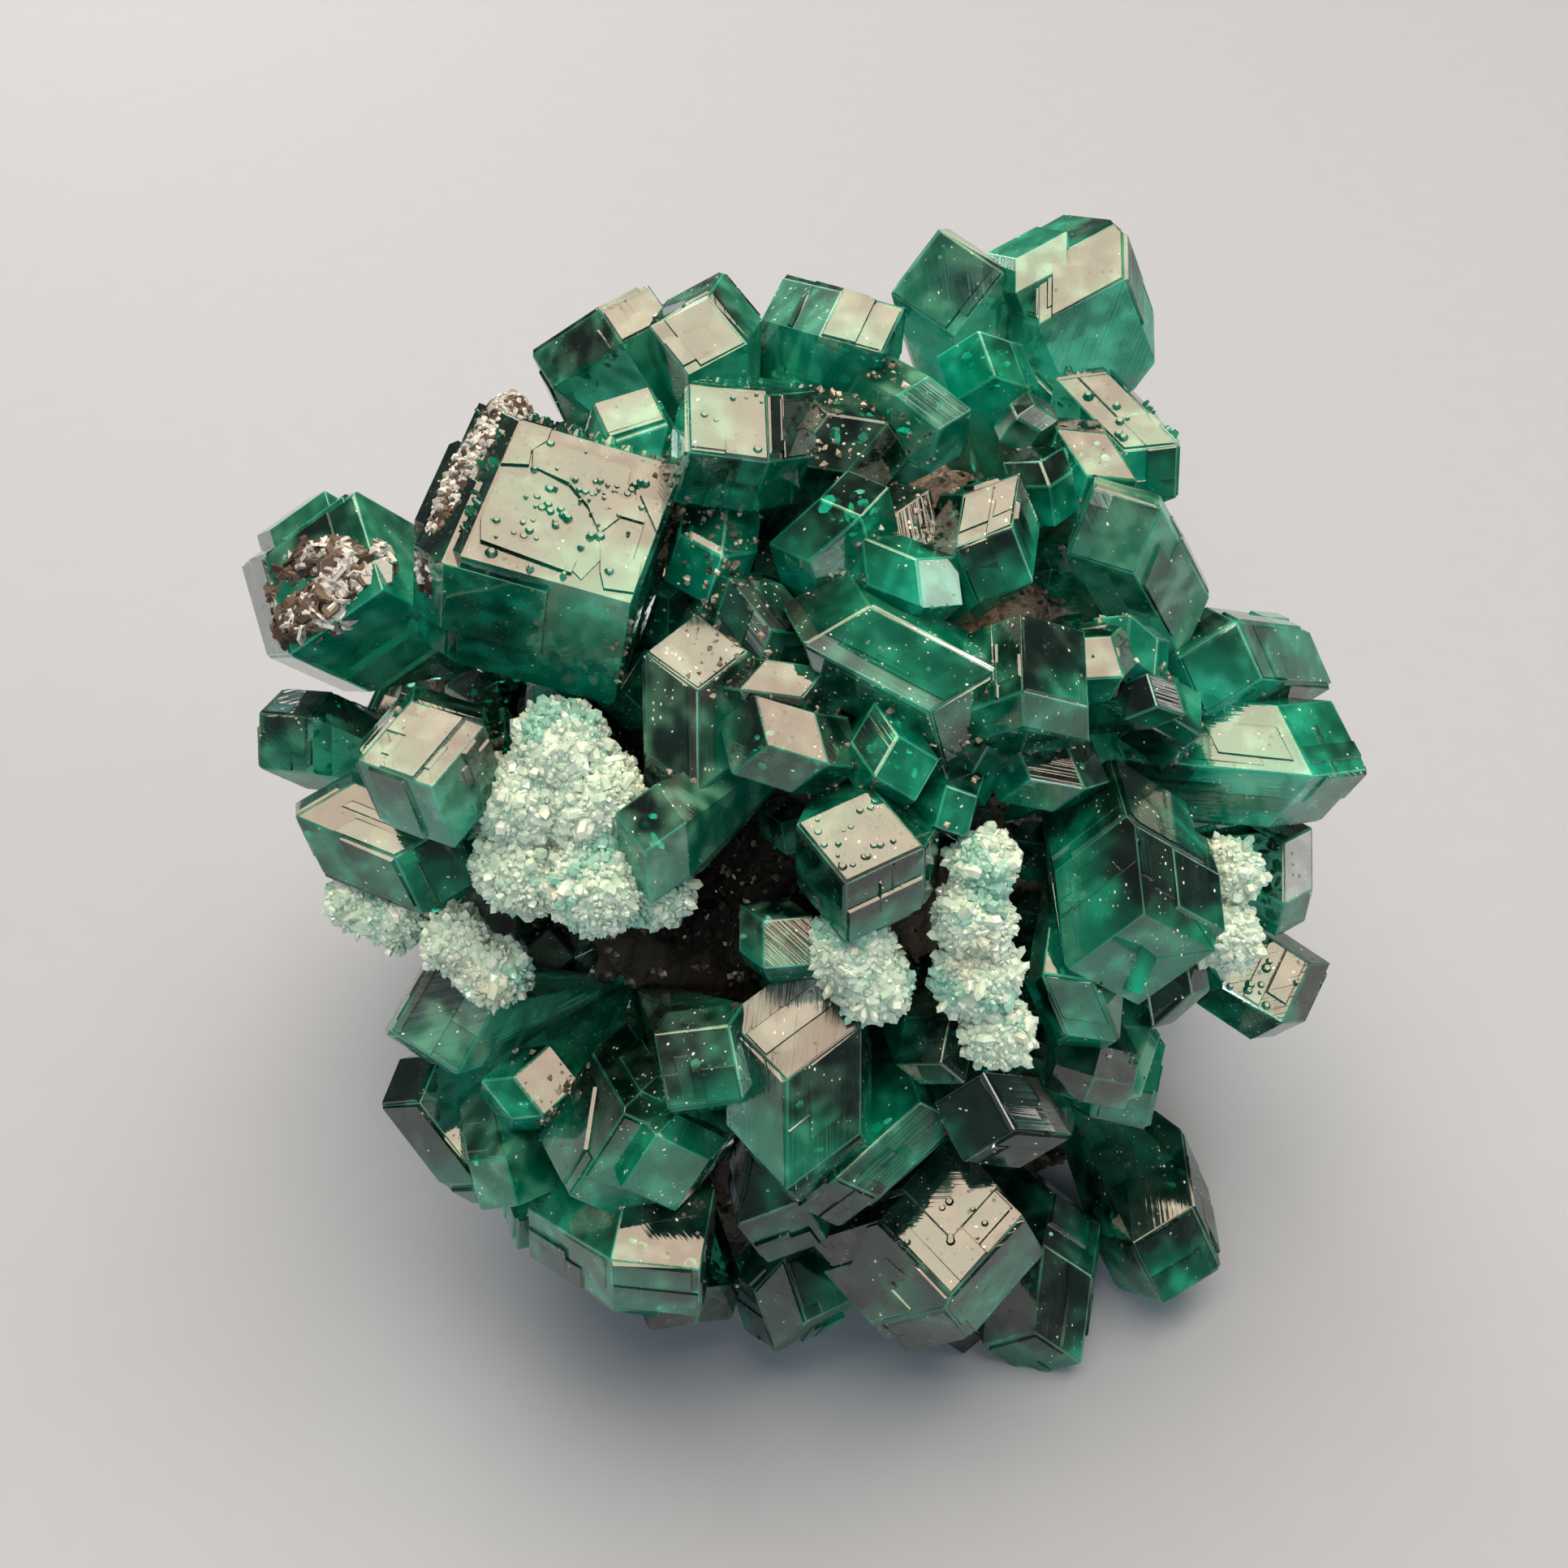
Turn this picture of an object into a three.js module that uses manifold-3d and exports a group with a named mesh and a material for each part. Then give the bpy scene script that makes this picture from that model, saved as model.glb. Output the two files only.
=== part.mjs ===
// A thumbnail specimen of dioptase: groups of green crystals on a grainy brown matrix, with
// crusts of tiny white crystals between them. Millimetres, +Z up, the front faces -Y.
import * as THREE from "three";
import { ConvexGeometry } from "three/addons/geometries/ConvexGeometry.js";
import { mergeVertices } from "three/addons/utils/BufferGeometryUtils.js";
import Module from "manifold-3d";

const wasm = await Module();
wasm.setup();

// Habit of a dioptase crystal: a six-sided shaft, each end closed by three sloping faces
const END_FACE_LEAN = THREE.MathUtils.degToRad(51);
const FACE_SPREAD = 0.05;        // how unevenly a large crystal's faces grow, as a share of its radius
const WELD = 0.02;               // corners closer than this are one corner
const GAP = 0.05;                // clear space between pieces that sit against each other

// Steps on the faces: smaller crystals grown parallel to a large one
const STEP_MIN_RADIUS = 1.45;    // smaller crystals have plain faces
const STEPS_PER_CRYSTAL = 2;
const STEP_SIZE = 0.62;          // radius of a step crystal, as a share of the large one's
const STEP_RISE = 0.07;          // how far a step stands out of the face
const STEP_SLIDE = 0.8;          // how far a step lies off the middle, as a share of the radius
const STEP_OUTWARDS = 0.2;       // only faces turned outwards at least this much carry steps

// Every crystal narrows inwards to the heart of its cluster, where a plain crystal joins them
const HEART_RADIUS = 1.1;
const HEART_SHAFT = 0.6;

// Each crystal: x, y, z of its middle, heading and rise of its long axis, spin about that
// axis (degrees), radius across the corners, length of the shaft between the end faces.
const CLUSTERS = {
  left: [{
    heart: [-5.6, -1.2, 11.8],
    crystals: [
      [-4.4, -3.6, 16.2, 305, 15, 60, 2.5, 1.9],      // broad flat-topped crystal
      [-8.6, -2.0, 14.1, 300, 35, 110, 1.9, 2.5],     // outer crystal, end towards the front
      [-2.8, -1.8, 17.2, 65, 55, 55, 0.95, 0.8],      // small neighbour on the right
    ],
  }],
  lower_left: [{
    heart: [-5.6, -3.6, 10.0],
    crystals: [
      [-9.3, -3.4, 11.5, 200, 45, 80, 1.0, 1.1],      // wing pointing left
      [-6.3, -6.7, 13.8, 280, 30, 70, 1.3, 1.8],      // bright-faced block
      [-7.6, -6.1, 11.3, 155, 5, 70, 1.05, 2.2],      // lying prism below it
      [-5.6, -5.6, 12.6, 70, 40, 30, 1.0, 0.8],       // dark crystal between them
    ],
  }],
  top: [{
    heart: [-0.6, 0.3, 13.6],
    crystals: [
      [-3.5, 1.6, 17.3, 330, 40, 80, 0.95, 2.3],      // back left prism
      [-1.5, 0.9, 18.0, 260, 10, 55, 1.1, 1.5],       // ridge crystal
      [0.9, 1.3, 17.9, 295, 20, 65, 1.05, 2.8],       // ridge crystal with a shining end
      [-0.6, -2.4, 17.8, 240, 25, 35, 1.2, 2.4],      // centre top
      [0.9, -1.8, 17.4, 180, 10, 35, 1.0, 1.1],       // grain-covered neighbour
      [2.4, -0.9, 17.5, 180, 40, 60, 0.85, 1.1],      // pale small crystal
      [-1.3, -3.5, 16.4, 85, 25, 80, 0.85, 1.0],      // small dark one below
    ],
  }],
  tall_pair: [{
    heart: [4.6, 3.0, 10.8],
    crystals: [
      [3.7, 5.4, 16.6, 195, 75, 70, 1.4, 0.8],        // rhomb-shaped crystal
      [6.2, 5.2, 16.4, 88, 33, 30, 1.75, 1.3],        // tallest block
      [5.0, 4.0, 14.6, 300, 30, 20, 1.44, 1.6],       // foot that carries the pair
    ],
  }],
  back_right: [{
    heart: [5.0, 1.4, 12.6],
    crystals: [
      [4.1, 1.5, 17.0, 180, 20, 115, 0.85, 0.7],      // foot of the tall pair
      [6.7, 1.0, 15.9, 125, 15, 70, 0.9, 2.2],        // slanting prism
      [5.9, -0.7, 16.1, 125, 30, 80, 0.85, 1.1],      // green one below it
      [4.7, -0.2, 16.9, 40, 10, 80, 0.5, 0.5],        // small grey crystal
      [4.9, -1.5, 16.3, 105, 20, 50, 0.7, 0.6],       // small dark crystal
    ],
  }],
  centre: [{
    heart: [1.5, -3.1, 12.4],
    crystals: [
      [0.9, -3.7, 16.7, 5, 45, 65, 0.8, 1.3],         // green block
      [2.1, -4.5, 16.3, 150, 5, 105, 0.75, 1.1],      // roof-shaped crystal
      [3.7, -3.5, 16.5, 80, 19, 30, 0.95, 1.2],      // shining rhomb
      [2.0, -5.5, 15.1, 160, 20, 50, 1.15, 2.5],      // long dark slab
      [-0.1, -6.1, 14.9, 180, 10, 70, 0.7, 1.1],      // dark wedge
      [0.1, -7.0, 14.5, 165, 10, 5, 0.85, 1.1],       // pitted crystal
      [1.8, -7.1, 14.3, 115, 5, 5, 0.75, 0.9],        // dark block beside it
      [1.5, -8.1, 12.9, 255, 28, 60, 1.3, 1.6],       // pitted rhomb over the hollow
      [-1.6, -6.0, 14.3, 90, 55, 65, 1.05, 1.8],      // speckled upright crystal
      [2.9, -7.2, 13.4, 255, 10, 115, 0.65, 0.7],     // small edge crystal
      [-2.2, -8.0, 13.1, 110, 85, 25, 0.75, 1.2],     // small bright-faced crystal by the druse
      [-0.6, -4.6, 15.2, 140, 35, 100, 1.0, 1.2],     // dark crystal in the gap above
      [2.2, -2.9, 15.9, 100, 30, 40, 0.9, 1.0],       // dark crystal under the top ones
    ],
  }, {
    heart: [4.2, -3.6, 11.6],
    crystals: [
      [4.3, -5.9, 14.9, 130, 80, 75, 1.3, 0.7],       // speckled cube-like crystal
      [5.8, -4.9, 14.8, 245, 20, 40, 0.7, 1.6],       // narrow shining crystal
      [6.4, -4.6, 14.8, 160, 35, 115, 0.6, 0.7],      // bright small crystal
      [6.8, -5.2, 14.1, 185, 25, 110, 0.55, 0.6],     // small square crystal
      [4.8, -6.2, 13.2, 170, 5, 115, 0.75, 1.0],      // dark crystal underneath
      [3.2, -5.9, 13.6, 30, 60, 70, 1.0, 1.0],        // dark crystal on the left of it
    ],
  }],
  right: [{
    heart: [6.8, -1.6, 10.6],
    crystals: [
      [6.8, -2.5, 15.1, 195, 60, 80, 1.1, 2.6],       // hazy-faced crystal
      [9.2, -2.3, 12.6, 220, 30, 100, 1.1, 2.9],      // upper prism
      [8.5, -3.6, 11.3, 340, 10, 60, 1.4, 3.6],       // long prism pointing right
      [7.3, -4.1, 12.6, 250, 50, 15, 0.9, 0.9],       // green crystal at its root
    ],
  }],
  lower_right: [{
    heart: [5.4, -4.4, 8.8],
    crystals: [
      [6.4, -7.1, 11.2, 100, 50, 110, 1.6, 1.7],      // large deep green crystal
      [5.5, -8.2, 9.4, 140, 60, 45, 0.8, 1.4],        // crystal below it
      [6.0, -8.7, 7.6, 210, 40, 55, 0.65, 1.4],       // small shining crystal
      [7.5, -7.2, 8.3, 30, 30, 10, 0.6, 1.0],         // dark one on the right
      [7.0, -8.2, 7.3, 65, 45, 5, 0.25, 1.1],         // pale rod
      [6.7, -7.0, 5.6, 300, 30, 60, 1.0, 1.4],        // dark crystal low on the right
    ],
  }],
  right_edge: [{
    heart: [7.2, -2.4, 7.6],
    crystals: [
      [10.0, -4.8, 9.2, 85, 30, 60, 0.75, 1.3],       // edge crystal under the long prism
      [9.9, -5.8, 7.0, 215, 30, 25, 1.2, 0.8],        // single block standing out
    ],
  }],
  front: [{
    heart: [-3.2, -5.0, 6.2],
    crystals: [
      [-6.4, -8.1, 8.6, 225, 25, 10, 1.25, 0.6],      // striped prism pointing left
      [-6.6, -8.5, 5.6, 135, 25, 25, 0.9, 2.0],       // rounded left crystal
      [-5.5, -9.2, 6.0, 285, 5, 5, 0.85, 1.7],        // narrow prism
      [-4.9, -9.1, 7.6, 350, 20, 85, 0.8, 0.7],       // shoulder of the large block
      [-2.7, -9.8, 7.3, 235, 5, 105, 1.7, 1.0],       // large speckled block
      [-3.2, -10.5, 5.2, 310, 28, 60, 1.4, 3.3],      // shining block under it
      [-1.5, -9.8, 9.3, 245, 5, 35, 1.15, 0.6],       // square block
      [-2.0, -9.9, 2.0, 355, 20, 35, 0.8, 1.0],       // small crystal at the base
      [-4.8, -8.6, 3.8, 250, 30, 50, 1.0, 1.6],       // dark crystal low on the left
    ],
  }, {
    heart: [1.5, -5.4, 7.2],
    crystals: [
      [0.3, -9.8, 8.6, 90, 60, 50, 1.44, 2.1],        // silvery striped block
      [1.7, -9.8, 6.9, 45, 5, 90, 0.95, 2.3],         // dark prism
      [4.3, -9.1, 6.9, 190, 20, 0, 1.05, 1.2],        // black-green block
      [2.8, -8.9, 8.7, 275, 30, 100, 0.8, 0.8],       // dark crystal behind the spur
      [-0.1, -8.5, 11.1, 305, 15, 85, 0.75, 0.8],     // grey crystal below the hollow's lip
      [0.0, -9.5, 5.4, 75, 40, 30, 1.1, 1.4],         // dark crystal between the blocks
    ],
  }],
  front_low: [{
    heart: [2.4, -4.6, 3.2],
    crystals: [
      [0.2, -9.9, 2.3, 20, 50, 15, 1.2, 1.0],         // dark foot crystal
      [2.9, -10.1, 3.9, 340, 45, 85, 1.9, 1.8],       // large bottom crystal
      [5.5, -9.3, 1.3, 80, 55, 115, 1.2, 1.9],        // dark crystal on the right
      [3.6, -9.0, 1.0, 100, 40, 15, 1.0, 1.2],        // dark crystal under the large one
    ],
  }],
  front_right: [{
    heart: [5.4, -3.0, 3.0],
    crystals: [
      [8.0, -7.6, 1.6, 90, 10, 30, 1.35, 1.8],        // bottom right crystal
    ],
  }],
};

// Sides and back: clusters on the rounded rear, set by direction and height
const REAR_CENTRE = [0.2, 0.6, 5];
const REAR_REACH = [9.0, 7.6, 10.2];
const REAR_GROUPS = {            // per cluster: facing in degrees about +Z, rises of its rows
  left_side: [{ facing: 178, rises: [2, 17] }],
  rear_left: [{ facing: 128, rises: [6, 22] }],
  rear_right: [{ facing: 58, rises: [-2, 12] }],
  right_side: [{ facing: 8, rises: [-2, 13] }],
};
const REAR_SPREAD = [-7, 7];     // a row's two crystals lie this far to either side
const REAR_FLARE = 0.25;         // higher rows lie wider apart by this share a row
const REAR_STRAY = 8;            // degrees a crystal may lie off its place
const REAR_TURN = 120;           // degrees its axis may turn off its facing
const REAR_LEAN = [10, 65];      // rise of its axis
const REAR_RADIUS = [1.2, 1.44];
const REAR_SHAFT = [0.8, 2.2];
const REAR_HEART_DEPTH = 0.6;    // hearts lie at this share of the reach

// Crusts of tiny white crystals: lumps as x, y, z, radius, and how many points stand on them
const DRUSE = {
  left_druse: {
    lumps: [
      [-4.0, -6.7, 14.2, 0.9],
      [-4.6, -7.1, 13.3, 0.95],
      [-3.4, -7.2, 13.4, 0.95],
      [-4.7, -7.7, 12.2, 0.95],
      [-3.4, -8.2, 12.3, 0.95],
      [-2.4, -7.9, 11.9, 0.75],
    ],
    points: 6,
  },
  edge_druse: {
    lumps: [
      [-8.2, -6.6, 10.2, 0.6],
      [-7.4, -7.0, 10.2, 0.6],
    ],
    points: 3,
  },
  centre_druse: {
    lumps: [
      [1.2, -9.1, 11.5, 0.75],
      [1.6, -9.3, 10.8, 0.7],
    ],
    points: 3,
  },
  hanging_druse: {
    lumps: [
      [3.6, -8.0, 12.6, 0.6],
      [3.4, -8.5, 11.7, 0.75],
      [3.5, -9.0, 10.7, 0.8],
      [3.9, -9.5, 9.7, 0.65],
    ],
    points: 6,
  },
  right_druse: {
    lumps: [
      [8.7, -5.9, 10.3, 0.65],
      [8.6, -6.7, 9.4, 0.7],
    ],
    points: 3,
  },
  front_left_druse: {
    lumps: [
      [-6.1, -7.9, 10.4, 0.65],
      [-5.4, -8.3, 10.0, 0.65],
    ],
    points: 3,
  },
};
const POINT_RADIUS = [0.22, 0.48];
const POINT_LENGTH = [0.2, 0.45];
const POINT_SIDES = 3;
const POINT_OUTWARDS = 0.9;      // how much a point turns away from the middle of the specimen

// Flaky crust on the outer left crystal, and the thin one down the broad crystal's left side:
// rounded flakes as x, y, z and half sizes
const CRUSTS = {
  flaky_crust: [
    [-9.3, -3.0, 15.0, 0.8, 0.8, 0.65],
    [-8.5, -2.9, 15.7, 1.0, 0.9, 0.6],
    [-7.8, -3.4, 15.8, 0.85, 0.85, 0.6],
    [-8.3, -3.8, 15.3, 0.9, 0.8, 0.7],
    [-9.0, -3.9, 14.8, 0.8, 0.85, 0.85],
  ],
  edge_crust: [
    [-5.0, -2.0, 18.2, 0.6, 0.8, 0.5],
    [-5.3, -2.8, 18.1, 0.55, 0.85, 0.5],
    [-5.6, -3.5, 17.9, 0.55, 0.85, 0.5],
    [-5.9, -4.5, 17.5, 0.5, 0.8, 0.6],
    [-6.1, -5.0, 16.9, 0.55, 0.7, 0.9],
  ],
};
const CRUST_ROUGHNESS = 0.12;

// Matrix rock: one uneven body, wide above and narrower at the base, with a hollow in its front
const MATRIX_BODIES = [          // middle and half sizes
  [[0.2, 1.0, 7.0], [9.0, 7.6, 8.6]],
  [[1.2, -4.4, 2.2], [6.8, 3.6, 4.2]],
];
const MATRIX_FOOT = 0.84;        // width at the base as a share of the width higher up
const BREAKS = [                 // flat broken faces: heading, rise, distance from the middle
  [92, 12, 6.3], [140, -14, 6.9], [48, -20, 6.7], [118, 46, 6.6],
  [168, -30, 7.4], [16, -34, 7.2], [95, -40, 6.4],
];
const MATRIX_LUMPS = 0.7;        // height of its lumps
const MATRIX_WAVES = [[5.1, 3.1, 2.3, 0], [-3.1, 4.3, 6.1, 1], [8.3, -7.3, 4.1, 2]];
const HOLLOW = [-3.0, -8.0, 10.2, 2.6, 4.4, 1.5];
const HOLLOW_ROUGHNESS = 0.2;
const LUMP_WAVES = [[2.1, 0, 0.7, 0], [-1.3, 1.7, 0, 0], [0, 1.1, 2.4, 0]];
const MATRIX_DETAIL = 1;
const MIDDLE = [0, 0, 7];        // middle of the specimen, that crusts face away from
const FLOOR = [60, 60, 12];      // the slab below the base that trims everything flat

const FINISH = {
  dioptase: { color: 0x0a6b4c, roughness: 0.08, metalness: 0 },
  druse: { color: 0xc6d8cc, roughness: 0.35, metalness: 0 },
  crust: { color: 0x8f8578, roughness: 0.5, metalness: 0 },
  matrix: { color: 0x6e6053, roughness: 0.9, metalness: 0 },
};

function seededRandom(seed) {
  let state = seed;
  return () => {
    state = (state * 1664525 + 1013904223) % 4294967296;
    return state / 4294967296;
  };
}

function between(range, share) {
  return range[0] + (range[1] - range[0]) * share;
}

function toSolid(geometry) {
  geometry.deleteAttribute("normal");
  geometry.deleteAttribute("uv");
  const welded = mergeVertices(geometry, 1e-5);
  return new wasm.Manifold(new wasm.Mesh({
    numProp: 3,
    vertProperties: new Float32Array(welded.attributes.position.array),
    triVerts: new Uint32Array(welded.index.array),
  }));
}

function toGeometry(solid) {
  const mesh = solid.getMesh();
  const geometry = new THREE.BufferGeometry();
  geometry.setAttribute("position", new THREE.BufferAttribute(mesh.vertProperties, 3));
  geometry.setIndex(new THREE.BufferAttribute(mesh.triVerts, 1));
  geometry.computeVertexNormals();
  return geometry;
}

function join(solids) {
  return solids.reduce((whole, solid) => whole.add(solid));
}

// A cut can leave loose crumbs: only the largest body is kept
function largestBody(solid) {
  const bodies = solid.decompose();
  return bodies.reduce((best, body) => (body.volume() > best.volume() ? body : best));
}

// The faces of a crystal as planes: six sides, then three faces on each end
function crystalFaces(radius, shaft, random) {
  const faces = [];
  const side = radius * Math.cos(Math.PI / 6);
  const tip = shaft / 2 + 0.75 * radius * Math.tan(END_FACE_LEAN);
  const spread = radius < STEP_MIN_RADIUS ? 0 : FACE_SPREAD;
  const uneven = () => 1 + spread * (2 * random() - 1);
  for (let k = 0; k < 6; k += 1) {
    const turn = Math.PI / 6 + (k * Math.PI) / 3;
    const normal = new THREE.Vector3(Math.cos(turn), Math.sin(turn), 0);
    faces.push({ normal, distance: side * uneven() });
  }
  for (let k = 0; k < 6; k += 1) {
    const turn = (k * Math.PI) / 3;
    const end = k % 2 === 0 ? 1 : -1;
    const normal = new THREE.Vector3(
      Math.sin(END_FACE_LEAN) * Math.cos(turn),
      Math.sin(END_FACE_LEAN) * Math.sin(turn),
      Math.cos(END_FACE_LEAN) * end,
    );
    faces.push({ normal, distance: tip * Math.cos(END_FACE_LEAN) * uneven() });
  }
  return faces;
}

// Corners: where three faces meet inside all the others
function corners(faces, grow) {
  const found = [];
  const cross = (a, b) => new THREE.Vector3().crossVectors(a.normal, b.normal);
  const reach = (face) => face.distance + grow;
  for (let i = 0; i < faces.length; i += 1) {
    for (let j = i + 1; j < faces.length; j += 1) {
      for (let k = j + 1; k < faces.length; k += 1) {
        const [a, b, c] = [faces[i], faces[j], faces[k]];
        const spread = a.normal.dot(cross(b, c));
        if (Math.abs(spread) < 1e-6) continue;
        const corner = cross(b, c).multiplyScalar(reach(a))
          .addScaledVector(cross(c, a), reach(b))
          .addScaledVector(cross(a, b), reach(c))
          .divideScalar(spread);
        const inside = faces.every((face) => face.normal.dot(corner) < reach(face) + 1e-6);
        const fresh = found.every((other) => other.distanceTo(corner) > WELD);
        if (inside && fresh) found.push(corner);
      }
    }
  }
  return found;
}

function stance(at, heading, rise, spin) {
  const turn = (degrees) => THREE.MathUtils.degToRad(degrees);
  return new THREE.Matrix4().makeTranslation(at)
    .multiply(new THREE.Matrix4().makeRotationZ(turn(heading)))
    .multiply(new THREE.Matrix4().makeRotationY(turn(90 - rise)))
    .multiply(new THREE.Matrix4().makeRotationZ(turn(spin)));
}

function hull(points) {
  return toSolid(new ConvexGeometry(points));
}

// A crystal with its root and its steps; grow makes a copy that is larger all round
function crystalSolid(row, heart, seed, grow) {
  const [x, y, z, heading, rise, spin, radius, shaft] = row;
  const random = seededRandom(seed);
  const at = new THREE.Vector3(x, y, z);
  const place = stance(at, heading, rise, spin);
  const faces = crystalFaces(radius, shaft, random);
  const body = corners(faces, grow).map((p) => p.applyMatrix4(place));
  const solids = [hull([...body, heart])];
  if (radius < STEP_MIN_RADIUS || grow > GAP) return solids[0];
  const outwards = at.clone().sub(heart).normalize();
  const outer = faces.filter((face) => (
    face.normal.clone().transformDirection(place).dot(outwards) > STEP_OUTWARDS
  ));
  for (let n = 0; n < STEPS_PER_CRYSTAL; n += 1) {
    const face = outer[Math.floor(random() * outer.length)];
    const stepFaces = crystalFaces(radius * STEP_SIZE, shaft * STEP_SIZE, random);
    const stepFace = stepFaces[faces.indexOf(face)];
    const slide = new THREE.Vector3(random() - 0.5, random() - 0.5, random() - 0.5)
      .multiplyScalar(STEP_SLIDE * radius)
      .projectOnPlane(face.normal);
    const shift = slide.addScaledVector(face.normal, face.distance + STEP_RISE - stepFace.distance);
    const step = corners(stepFaces, grow).map((p) => p.add(shift).applyMatrix4(place));
    solids.push(hull(step));
  }
  return join(solids);
}

function groupSolid(clusters, seed, grow) {
  const solids = [];
  clusters.forEach((cluster, c) => {
    const heart = new THREE.Vector3(...cluster.heart);
    const heartFaces = crystalFaces(HEART_RADIUS, HEART_SHAFT, seededRandom(seed));
    solids.push(hull(corners(heartFaces, grow).map((p) => p.add(heart))));
    cluster.crystals.forEach((row, n) => {
      solids.push(crystalSolid(row, heart, seed + 100 * c + n, grow));
    });
  });
  return join(solids);
}

// Rear crystals stand on a rounded shell, each turned its own way
function rearCluster({ facing, rises }) {
  const random = seededRandom(facing);
  const stray = (range) => range * (random() - 0.5);
  const turn = (degrees) => THREE.MathUtils.degToRad(degrees);
  const onShell = (azimuth, rise, share) => [
    REAR_CENTRE[0] + share * REAR_REACH[0] * Math.cos(turn(azimuth)) * Math.cos(turn(rise)),
    REAR_CENTRE[1] + share * REAR_REACH[1] * Math.sin(turn(azimuth)) * Math.cos(turn(rise)),
    REAR_CENTRE[2] + share * REAR_REACH[2] * Math.sin(turn(rise)),
  ];
  const crystals = [];
  rises.forEach((rise, level) => {
    REAR_SPREAD.forEach((spread) => {
      const azimuth = facing + spread * (1 + REAR_FLARE * level) + stray(REAR_STRAY);
      const at = onShell(azimuth, rise + stray(REAR_STRAY), 1);
      const heading = azimuth + stray(REAR_TURN);
      const lean = between(REAR_LEAN, random());
      const spin = stray(REAR_TURN);
      const radius = between(REAR_RADIUS, random());
      crystals.push([...at, heading, lean, spin, radius, between(REAR_SHAFT, random())]);
    });
  });
  const middleRise = (rises[0] + rises[rises.length - 1]) / 2;
  return { heart: onShell(facing, middleRise, REAR_HEART_DEPTH), crystals };
}

function wavesAt(waves, point) {
  const heights = waves.map(([x, y, z, start]) => Math.sin(x * point.x + y * point.y + z * point.z + start));
  return heights.reduce((sum, height) => sum + height) / waves.length;
}

// A rounded lump with an uneven surface
function lump(at, radii, detail, roughness) {
  const geometry = new THREE.IcosahedronGeometry(1, detail);
  const position = geometry.attributes.position;
  for (let i = 0; i < position.count; i += 1) {
    const away = new THREE.Vector3().fromBufferAttribute(position, i);
    const point = away.clone().multiply(radii).add(at);
    point.addScaledVector(away, roughness * wavesAt(LUMP_WAVES, point));
    position.setXYZ(i, point.x, point.y, point.z);
  }
  return toSolid(geometry);
}

// Druse: joined lumps with small points standing on them
function druseSolid(patch, seed) {
  const random = seededRandom(seed);
  const upright = new THREE.Vector3(0, 1, 0);
  const solids = patch.lumps.map(([x, y, z, radius]) => (
    lump(new THREE.Vector3(x, y, z), new THREE.Vector3().setScalar(radius), 0, 0)
  ));
  for (let n = 0; n < patch.points; n += 1) {
    const [x, y, z, radius] = patch.lumps[n % patch.lumps.length];
    const away = new THREE.Vector3(x, y, z).sub(new THREE.Vector3(...MIDDLE)).normalize();
    const aim = new THREE.Vector3(random() - 0.5, random() - 0.5, random() - 0.5)
      .normalize()
      .addScaledVector(away, POINT_OUTWARDS)
      .normalize();
    const length = between(POINT_LENGTH, random()) + radius;
    const cone = new THREE.ConeGeometry(between(POINT_RADIUS, random()), length, POINT_SIDES);
    cone.translate(0, length / 2, 0);
    cone.applyQuaternion(new THREE.Quaternion().setFromUnitVectors(upright, aim));
    cone.translate(x, y, z);
    solids.push(toSolid(cone));
  }
  return join(solids);
}

function crustSolid(flakes) {
  return join(flakes.map(([x, y, z, ...halves]) => (
    lump(new THREE.Vector3(x, y, z), new THREE.Vector3(...halves), 0, CRUST_ROUGHNESS)
  )));
}

// One uneven body of the matrix
function rockSolid(middle, halves, grow) {
  const geometry = new THREE.IcosahedronGeometry(1, MATRIX_DETAIL);
  const position = geometry.attributes.position;
  const reach = new THREE.Vector3(...halves);
  for (let i = 0; i < position.count; i += 1) {
    const away = new THREE.Vector3().fromBufferAttribute(position, i);
    const point = away.clone().multiply(reach);
    point.addScaledVector(away, MATRIX_LUMPS * wavesAt(MATRIX_WAVES, away) + grow);
    const width = THREE.MathUtils.lerp(1, MATRIX_FOOT, Math.max(0, -away.z));
    position.setXYZ(i, point.x * width, point.y * width, point.z);
  }
  return toSolid(geometry.translate(...middle));
}

// Everything beyond a flat broken face
function beyond([heading, rise, distance], grow) {
  const [x, y, z] = MATRIX_BODIES[0][0];
  const block = new THREE.BoxGeometry(...FLOOR).translate(0, 0, distance + grow + FLOOR[2] / 2);
  return toSolid(block.applyMatrix4(stance(new THREE.Vector3(x, y, z), heading, rise, 0)));
}

function matrixSolid(grow) {
  const rock = join(MATRIX_BODIES.map(([middle, halves]) => rockSolid(middle, halves, grow)));
  const broken = BREAKS.reduce((solid, face) => solid.subtract(beyond(face, grow)), rock);
  const [x, y, z, ...halves] = HOLLOW;
  const opening = new THREE.Vector3(...halves).addScalar(-grow);
  return broken.subtract(lump(new THREE.Vector3(x, y, z), opening, 1, HOLLOW_ROUGHNESS));
}

function pieceMesh(name, solid, finish) {
  const mesh = new THREE.Mesh(toGeometry(solid), new THREE.MeshStandardMaterial(FINISH[finish]));
  mesh.name = name;
  return mesh;
}

const floor = toSolid(new THREE.BoxGeometry(...FLOOR).translate(0, 0, -FLOOR[2] / 2));
const specimen = new THREE.Group();

const groups = { ...CLUSTERS };
Object.entries(REAR_GROUPS).forEach(([name, rows]) => {
  groups[name] = rows.map(rearCluster);
});

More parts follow.
